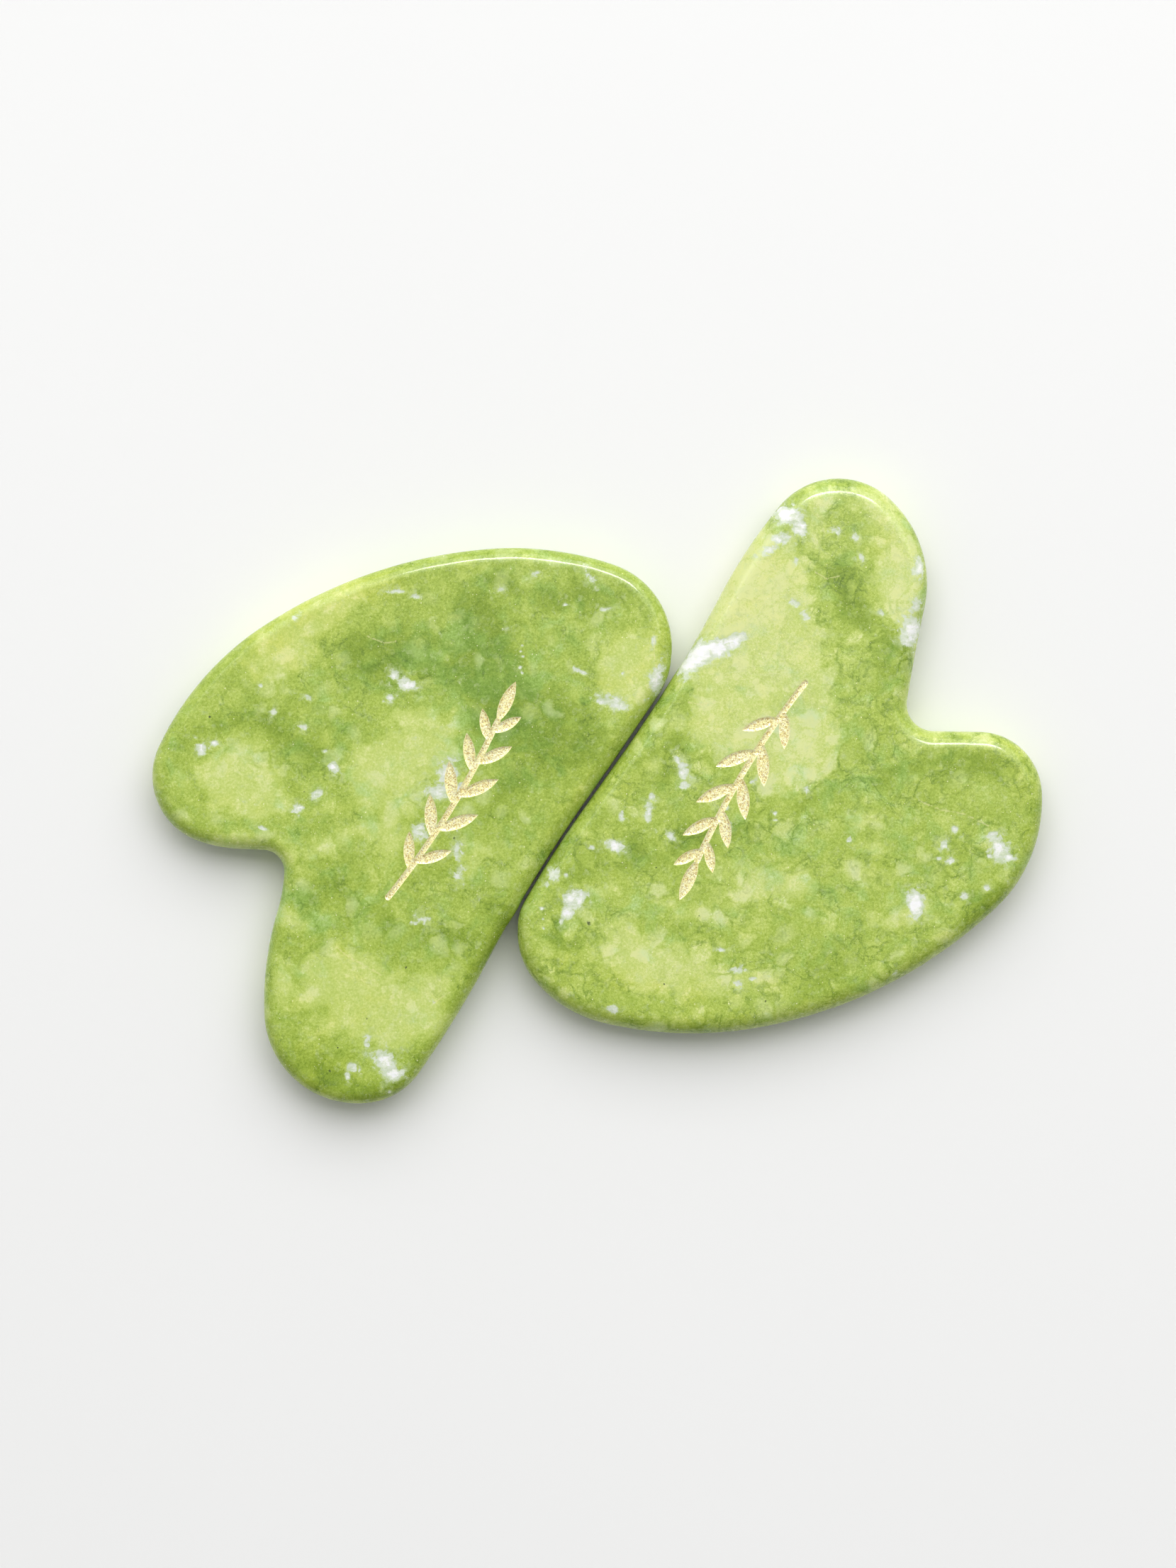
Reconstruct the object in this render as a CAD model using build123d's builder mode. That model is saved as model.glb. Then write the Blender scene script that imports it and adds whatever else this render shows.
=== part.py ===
from build123d import *
import os
from math import cos, radians, sin

# A matched pair of flat stone gua sha scrapers lying face up on a table with
# their long straight edges side by side. Each scraper is a polished slab with
# a broad body, a rounded tab and a notch between them, and carries a shallow
# engraved leaf sprig filled with gold paint.
#
# Frame: +Z up, origin on the table under the middle of the pair's bounding
# box, +X along the pair's length towards the right-hand scraper.

os.makedirs("parts", exist_ok=True)

# ---------------------------------------------------------------- dimensions
stone_thickness = 6.5   # slab thickness
edge_radius = 2.3       # hand-rounded top and bottom edges
mark_depth = 0.25       # engraved depth of the sprig
fill_thickness = 0.20   # gold paint in the engraving, 0.05 below the surface

# Each outline is a closed chain of tangent runs, walked anticlockwise from a
# point on the long straight edge. A run is (radius, sweep in degrees); a
# positive sweep turns left, a negative one turns right, and (None, 0) is a
# straight run whose length closes the outline. Sweeps add up to 360 degrees.
left_start = (-3.361, -3.953)
left_heading = 55.83
left_runs = [
    (None, 0),          # long straight edge, upper half
    (11.99, 105.55),    # broad nose
    (43.40, 23.46),     # long curved back, four radii
    (66.21, 28.89),
    (40.03, 31.45),
    (9.51, 96.10),      # lobe beside the notch
    (20.16, 16.27),
    (None, 0),          # top wall of the notch
    (2.95, -90.51),     # inner corner of the notch
    (22.61, -13.90),    # side wall of the notch
    (42.88, 19.07),     # side of the tab
    (12.94, 96.32),     # tip of the tab, two radii
    (9.78, 46.13),
    (134.45, 7.56),     # back to the straight edge
    (209.00, -6.39),    # slight hollow in the straight edge, lower half
]
right_start = (1.016, 1.506)
right_heading = 233.73
right_runs = [
    (None, 0),          # middle of the long straight edge
    (143.61, 6.42),     # its slight bulge, lower half
    (10.25, 69.30),     # broad nose, two radii
    (17.51, 36.57),
    (51.39, 20.92),     # long curved back, three radii
    (62.81, 36.93),
    (20.55, 49.52),
    (8.79, 85.71),      # lobe beside the notch
    (None, 0),          # top wall of the notch
    (3.67, -98.47),     # inner corner of the notch
    (309.00, -2.42),    # side wall of the notch
    (15.91, 60.62),     # tip of the tab, two radii
    (10.45, 91.85),
    (74.44, 11.46),     # back to the straight edge
    (205.00, -8.41),    # slight hollow in the straight edge, upper half
]

# The engraved sprig, in its own frame: x along the stem, y across it.
mark_length = 35.0      # stem butt to tip of the end leaf
stem_width = 0.85
stem_bow = 0.9          # rise of the curved stem
leaf_splay = 36.0       # angle of a side leaf off the stem
leaf_pairs = [          # (station along the stem, leaf length, leaf width)
    (-12.4, 5.4, 1.55),
    (-7.0, 6.1, 1.75),
    (-1.6, 6.1, 1.75),
    (3.6, 5.5, 1.65),
    (8.4, 4.6, 1.45),
]
leaf_stagger = 1.3      # lower leaves leave the stem this much later
end_leaf_length = 6.0
end_leaf_width = 1.75

left_mark_center = (-20.16, 0.1)
left_mark_angle = 58.1
right_mark_center = (20.11, 0.0)
right_mark_angle = 238.7


def straight_lengths(heading, runs):
    """Lengths of the two straight runs that close the outline."""
    gap_x = gap_y = 0.0
    turns = []
    for radius, sweep in runs:
        here = radians(heading)
        if radius is None:
            turns.append(here)
        else:
            there = radians(heading + sweep)
            side = 1 if sweep > 0 else -1
            gap_x += side * radius * (sin(there) - sin(here))
            gap_y += side * radius * (cos(here) - cos(there))
            heading += sweep
    a, b = turns
    det = cos(a) * sin(b) - cos(b) * sin(a)
    first = (-gap_x * sin(b) + gap_y * cos(b)) / det
    second = (-gap_y * cos(a) + gap_x * sin(a)) / det
    return [first, second]


# ------------------------------------------------------------ engraved sprig
stem_end = mark_length / 2 - end_leaf_length
with BuildSketch() as sprig:
    with BuildLine(mode=Mode.PRIVATE) as stem_line:
        stem = SagittaArc(
            (-mark_length / 2 + stem_width / 2, -stem_bow / 2),
            (stem_end, -stem_bow / 2),
            -stem_bow,
        )
    SlotArc(arc=stem, height=stem_width)
    stem_start_x = -mark_length / 2 + stem_width / 2
    for station, leaf_length, leaf_width in leaf_pairs:
        for side in (1, -1):
            x = station + (0 if side > 0 else leaf_stagger)
            t = (x - stem_start_x) / (stem_end - stem_start_x)
            base = stem @ t
            turn = radians(side * leaf_splay)
            tangent = stem % t
            point = Vector(
                tangent.X * cos(turn) - tangent.Y * sin(turn),
                tangent.X * sin(turn) + tangent.Y * cos(turn),
            )
            tip = base + point * leaf_length
            with BuildLine() as leaf:
                SagittaArc(base, tip, leaf_width / 2)
                SagittaArc(tip, base, leaf_width / 2)
            make_face()
    end_base = stem @ 1
    end_tip = end_base + (stem % 1) * end_leaf_length
    with BuildLine() as end_leaf:
        SagittaArc(end_base - (stem % 1) * 0.3, end_tip, end_leaf_width / 2)
        SagittaArc(end_tip, end_base - (stem % 1) * 0.3, end_leaf_width / 2)
    make_face()

left_mark_dir = (cos(radians(left_mark_angle)), sin(radians(left_mark_angle)), 0)
right_mark_dir = (cos(radians(right_mark_angle)), sin(radians(right_mark_angle)), 0)
left_mark_plane = Plane(
    origin=(*left_mark_center, stone_thickness), x_dir=left_mark_dir, z_dir=(0, 0, 1)
)
right_mark_plane = Plane(
    origin=(*right_mark_center, stone_thickness), x_dir=right_mark_dir, z_dir=(0, 0, 1)
)

# -------------------------------------------------------------- left scraper
with BuildPart() as left_stone:
    with BuildSketch(Plane.XY):
        with BuildLine():
            lengths = straight_lengths(left_heading, left_runs)
            first = lengths.pop(0)
            run = Line(
                left_start,
                (
                    left_start[0] + first * cos(radians(left_heading)),
                    left_start[1] + first * sin(radians(left_heading)),
                ),
            )
            for radius, sweep in left_runs[1:]:
                if radius is None:
                    run = Line(run @ 1, run @ 1 + (run % 1) * lengths.pop(0))
                else:
                    run = JernArc(run @ 1, run % 1, radius, sweep)
        make_face()
    extrude(amount=stone_thickness)
    fillet(left_stone.edges().group_by(Axis.Z)[-1], radius=edge_radius)
    fillet(left_stone.edges().group_by(Axis.Z)[0], radius=edge_radius)
    with BuildSketch(left_mark_plane):
        add(sprig.sketch)
    extrude(amount=-mark_depth, mode=Mode.SUBTRACT)
left_stone.part.label = "left_stone"

with BuildPart() as left_gold_fill:
    with BuildSketch(left_mark_plane.offset(-mark_depth)):
        add(sprig.sketch)
    extrude(amount=fill_thickness)
left_gold_fill.part.label = "left_gold_fill"

# ------------------------------------------------------------- right scraper
with BuildPart() as right_stone:
    with BuildSketch(Plane.XY):
        with BuildLine():
            lengths = straight_lengths(right_heading, right_runs)
            first = lengths.pop(0)
            run = Line(
                right_start,
                (
                    right_start[0] + first * cos(radians(right_heading)),
                    right_start[1] + first * sin(radians(right_heading)),
                ),
            )
            for radius, sweep in right_runs[1:]:
                if radius is None:
                    run = Line(run @ 1, run @ 1 + (run % 1) * lengths.pop(0))
                else:
                    run = JernArc(run @ 1, run % 1, radius, sweep)
        make_face()
    extrude(amount=stone_thickness)
    fillet(right_stone.edges().group_by(Axis.Z)[-1], radius=edge_radius)
    fillet(right_stone.edges().group_by(Axis.Z)[0], radius=edge_radius)
    with BuildSketch(right_mark_plane):
        add(sprig.sketch)
    extrude(amount=-mark_depth, mode=Mode.SUBTRACT)
right_stone.part.label = "right_stone"

with BuildPart() as right_gold_fill:
    with BuildSketch(right_mark_plane.offset(-mark_depth)):
        add(sprig.sketch)
    extrude(amount=fill_thickness)
right_gold_fill.part.label = "right_gold_fill"

export_step(left_stone.part, "parts/left_stone.step")
export_step(left_gold_fill.part, "parts/left_gold_fill.step")
export_step(right_stone.part, "parts/right_stone.step")
export_step(right_gold_fill.part, "parts/right_gold_fill.step")
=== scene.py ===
import math

import bpy
import numpy as np
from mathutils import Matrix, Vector, noise
from mathutils.geometry import delaunay_2d_cdt
from mathutils.kdtree import KDTree


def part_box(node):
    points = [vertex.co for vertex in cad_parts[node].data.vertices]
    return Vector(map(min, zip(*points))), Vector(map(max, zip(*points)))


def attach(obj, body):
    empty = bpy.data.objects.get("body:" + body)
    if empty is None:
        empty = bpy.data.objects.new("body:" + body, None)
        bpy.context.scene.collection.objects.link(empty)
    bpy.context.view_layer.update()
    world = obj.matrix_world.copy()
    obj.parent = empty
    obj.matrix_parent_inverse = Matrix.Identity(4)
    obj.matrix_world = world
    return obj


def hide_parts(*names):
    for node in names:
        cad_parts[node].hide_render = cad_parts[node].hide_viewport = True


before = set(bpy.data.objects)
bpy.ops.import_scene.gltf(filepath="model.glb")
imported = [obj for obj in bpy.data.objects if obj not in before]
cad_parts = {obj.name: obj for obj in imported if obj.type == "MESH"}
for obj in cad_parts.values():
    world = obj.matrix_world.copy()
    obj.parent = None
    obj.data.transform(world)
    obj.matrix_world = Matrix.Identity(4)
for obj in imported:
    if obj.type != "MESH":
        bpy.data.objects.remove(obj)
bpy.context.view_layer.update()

MM = 0.001
scene = bpy.context.scene

# ------------------------------------------------------------------ dimensions
# Millimetres, as in the CAD model.
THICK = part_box("left_stone")[1].z / MM          # slab thickness
EDGE = 2.3                                      # hand-rounded edge radius
MARK_DEPTH = 0.25                               # engraving
FILL_TOP = 0.03                                 # paint below the face at the stroke's edge
FILL_DISH = 0.11                                # how much lower it is in mid-stroke

# (radius, sweep) runs of each outline, anticlockwise; None is a straight run.
OUTLINES = {
    "left": {
        "start": (-3.361, -3.953),
        "heading": 55.83,
        "runs": [
            (None, 0), (11.99, 105.55), (43.40, 23.46), (66.21, 28.89), (40.03, 31.45),
            (9.51, 96.10), (20.16, 16.27), (None, 0), (2.95, -90.51), (22.61, -13.90),
            (42.88, 19.07), (12.94, 96.32), (9.78, 46.13), (134.45, 7.56), (209.00, -6.39),
        ],
        "mark": ((-20.16, 0.1), 58.1),
        "seed": 11,
        "round": -0.22,
    },
    "right": {
        "start": (1.016, 1.506),
        "heading": 233.73,
        "runs": [
            (None, 0), (143.61, 6.42), (10.25, 69.30), (17.51, 36.57), (51.39, 20.92),
            (62.81, 36.93), (20.55, 49.52), (8.79, 85.71), (None, 0), (3.67, -98.47),
            (309.00, -2.42), (15.91, 60.62), (10.45, 91.85), (74.44, 11.46), (205.00, -8.41),
        ],
        "mark": ((20.11, 0.0), 238.7),
        "seed": 29,
        "round": 0.18,
    },
}

MARK_LENGTH = 35.0
STEM_WIDTH = 0.85
STEM_BOW = 0.9
LEAF_SPLAY = 36.0
LEAF_PAIRS = [
    (-12.4, 5.4, 1.55), (-7.0, 6.1, 1.75), (-1.6, 6.1, 1.75), (3.6, 5.5, 1.65), (8.4, 4.6, 1.45),
]
LEAF_STAGGER = 1.3
END_LEAF = (6.0, 1.75)

# ------------------------------------------------------- the stone's own marks
# White mineral flecks on the engraved face: x, y, half length, half width,
# angle of the length, strength. Millimetres in the row frame.
FLECKS = {
    "left": [
        (-27.8, 15.9, 0.9, 0.6, -35, 1.0), (-26.2, 14.7, 1.5, 0.8, -25, 1.1),
        (-28.4, 12.7, 0.6, 0.5, 0, 0.95), (-29.4, 12.3, 0.3, 0.2, 0, 0.9),
        (-24.9, 26.7, 0.6, 0.35, 0, 1.0), (-27.5, 27.4, 1.1, 0.3, 0, 0.75),
        (-41.3, 24.0, 0.8, 0.5, 20, 0.7), (-39.8, 12.9, 0.7, 0.4, -20, 0.85),
        (-44.5, 11.0, 0.5, 0.8, 0, 0.75), (-54.3, 5.8, 0.7, 0.8, 0, 1.0),
        (-52.7, 6.6, 0.5, 0.4, 0, 0.95), (-55.4, 7.5, 0.6, 0.3, -30, 0.75),
        (-36.2, 3.2, 0.6, 0.95, 15, 1.1), (-37.4, 5.5, 0.4, 0.3, 0, 0.8),
        (-38.4, -0.4, 0.8, 0.6, 30, 1.0), (-41.1, -2.4, 0.8, 0.7, 30, 1.05),
        (-20.6, 2.6, 1.3, 2.0, -25, 1.0), (-21.9, -0.1, 1.5, 1.0, 15, 1.1),
        (-18.8, 0.4, 1.0, 0.7, 0, 1.0), (-24.3, -5.6, 1.0, 1.4, 10, 0.9),
        (-19.3, -8.0, 0.8, 1.6, 5, 0.72), (-19.0, -11.6, 0.8, 1.3, 0, 0.7),
        (-24.5, -17.6, 1.5, 1.1, 0, 0.62), (-29.2, -37.2, 1.5, 1.2, -50, 1.25),
        (-28.0, -38.9, 1.3, 0.8, -15, 1.2), (-33.8, -38.0, 0.9, 0.6, 0, 1.0),
        (-34.3, -39.3, 0.4, 0.6, 0, 1.0), (-31.7, -34.5, 0.5, 0.8, 0, 0.85),
        (-8.5, 29.8, 0.7, 0.5, 0, 0.7), (-13.5, 27.7, 0.6, 0.4, 0, 0.75),
        (-12.5, 22.3, 0.5, 0.5, 0, 0.7), (-1.0, 29.4, 0.4, 1.3, 30, 0.8),
        (1.2, 25.0, 0.8, 0.5, 20, 0.7), (-4.3, 25.6, 0.3, 0.2, 0, 0.85),
        (-2.2, 16.4, 0.9, 0.35, -28, 1.0), (2.2, 12.1, 1.9, 0.95, -12, 1.0),
        (0.6, 12.3, 0.7, 0.5, 0, 0.95), (3.6, 16.2, 0.3, 0.3, 0, 0.8),
        (8.2, 15.2, 0.95, 2.1, -5, 1.15), (7.7, 20.6, 0.35, 0.9, 0, 0.9),
        (-40.5, 8.7, 0.6, 0.3, -20, 0.75), (-46.2, 14.5, 0.4, 0.3, 0, 0.75),
        (-46.0, -5.1, 0.8, 0.3, -20, 0.7), (-22.5, -29.2, 0.4, 0.2, 30, 0.85),
        (-10.3, 20.0, 0.18, 0.14, 0, 1.1), (-10.5, 19.2, 0.15, 0.12, 0, 1.1),
        (-10.2, 18.5, 0.22, 0.15, 0, 1.1), (-10.6, 17.0, 0.22, 0.18, 0, 1.1),
        (-10.3, 16.2, 0.2, 0.16, 0, 1.1), (-28.6, -41.4, 0.4, 0.25, 0, 0.8),
    ],
    "right": [
        (25.9, 38.0, 1.9, 1.2, -25, 1.5), (27.8, 36.3, 1.0, 1.3, 20, 1.25),
        (25.4, 34.7, 1.5, 0.8, 15, 0.95), (23.6, 33.1, 1.5, 0.6, 25, 0.88),
        (32.7, 36.0, 0.7, 0.6, 0, 0.85), (35.5, 35.0, 0.5, 0.6, 0, 0.85),
        (36.3, 32.0, 0.3, 0.6, 15, 0.85), (27.3, 31.6, 0.4, 0.6, 0, 0.75),
        (44.2, 30.8, 0.9, 1.3, 0, 1.05), (44.0, 25.6, 0.8, 0.9, 0, 1.0),
        (43.4, 22.2, 1.5, 1.9, 10, 1.3), (42.6, 20.4, 0.9, 0.7, 0, 1.0),
        (39.0, 24.6, 0.4, 0.4, 0, 0.8), (19.7, 21.0, 0.9, 0.6, 20, 1.1),
        (18.4, 20.3, 1.6, 1.0, 20, 1.25), (16.4, 19.6, 1.6, 1.1, 15, 1.7), (14.2, 18.9, 2.0, 1.3, 25, 1.9),
        (12.5, 17.7, 1.7, 1.2, 50, 1.8), (27.2, 25.8, 0.9, 0.5, -20, 0.85),
        (28.6, 24.0, 0.6, 0.8, 0, 0.75), (11.8, 2.6, 0.75, 1.3, 10, 1.1),
        (11.9, 0.9, 0.7, 0.6, 0, 1.05), (11.1, 4.2, 0.3, 0.6, 30, 1.0),
        (7.6, -0.9, 0.4, 0.6, 20, 1.0), (7.0, -3.1, 0.5, 1.2, -8, 1.05),
        (3.4, -3.5, 0.4, 0.7, 0, 1.0), (2.2, -7.5, 1.3, 0.8, -10, 1.15),
        (-0.8, -7.8, 0.5, 0.3, 0, 0.85), (-6.0, -11.4, 0.9, 0.9, 0, 0.95),
        (-4.3, -11.6, 0.4, 0.4, 0, 0.85), (-6.9, -12.9, 0.3, 0.4, 0, 0.8),
        (-3.1, -14.9, 1.5, 1.2, 20, 1.2), (-4.1, -16.8, 0.9, 0.9, 0, 1.1),
        (-5.0, -17.9, 0.4, 0.3, 0, 0.9), (17.7, -4.9, 0.8, 0.8, 0, 0.95),
        (17.5, -2.1, 0.5, 0.6, 0, 0.9), (10.0, -6.2, 0.8, 0.5, -40, 0.8),
        (24.5, -3.0, 0.35, 0.25, 30, 0.95), (24.6, -4.0, 0.3, 0.2, 0, 0.9),
        (19.3, -24.7, 0.9, 0.5, 15, 0.95), (19.3, -26.6, 0.6, 0.6, 0, 0.9),
        (21.4, -25.8, 0.6, 0.3, 10, 0.85), (17.1, -21.8, 0.5, 0.3, 0, 0.85),
        (2.2, -30.0, 0.9, 0.5, 0, 0.9), (43.7, -15.5, 0.95, 1.5, 8, 1.65),
        (55.3, -7.9, 1.1, 1.7, 20, 1.1), (54.3, -6.0, 0.8, 0.5, 20, 1.0),
        (54.0, -9.0, 0.5, 0.3, 10, 0.9), (56.6, -9.1, 0.7, 0.6, 0, 1.0),
        (47.7, -7.3, 0.6, 0.7, 0, 0.85), (49.2, -5.3, 0.6, 0.6, 0, 0.8),
        (48.6, -9.7, 0.9, 0.4, 15, 0.85), (47.0, -9.3, 0.4, 0.3, 0, 0.8),
        (53.6, -13.3, 0.45, 0.45, 0, 0.95), (50.5, -14.5, 0.6, 0.5, 0, 0.75),
        (28.6, 0.2, 0.7, 0.5, 0, 0.7), (34.7, -6.8, 0.5, 0.4, 0, 0.7),
        (41.2, -25.2, 0.5, 0.4, 30, 0.9), (21.5, 1.2, 0.5, 0.5, 0, 0.7),
        (-8.0, -12.3, 0.16, 0.13, 0, 1.1), (-7.9, -13.2, 0.16, 0.13, 0, 1.1),
        (-7.8, -14.3, 0.14, 0.12, 0, 1.1), (-7.6, -16.2, 0.2, 0.15, 0, 1.1),
        (-7.5, -17.6, 0.14, 0.12, 0, 1.1), (-7.4, -18.9, 0.16, 0.14, 0, 1.1),
    ],
}

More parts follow.
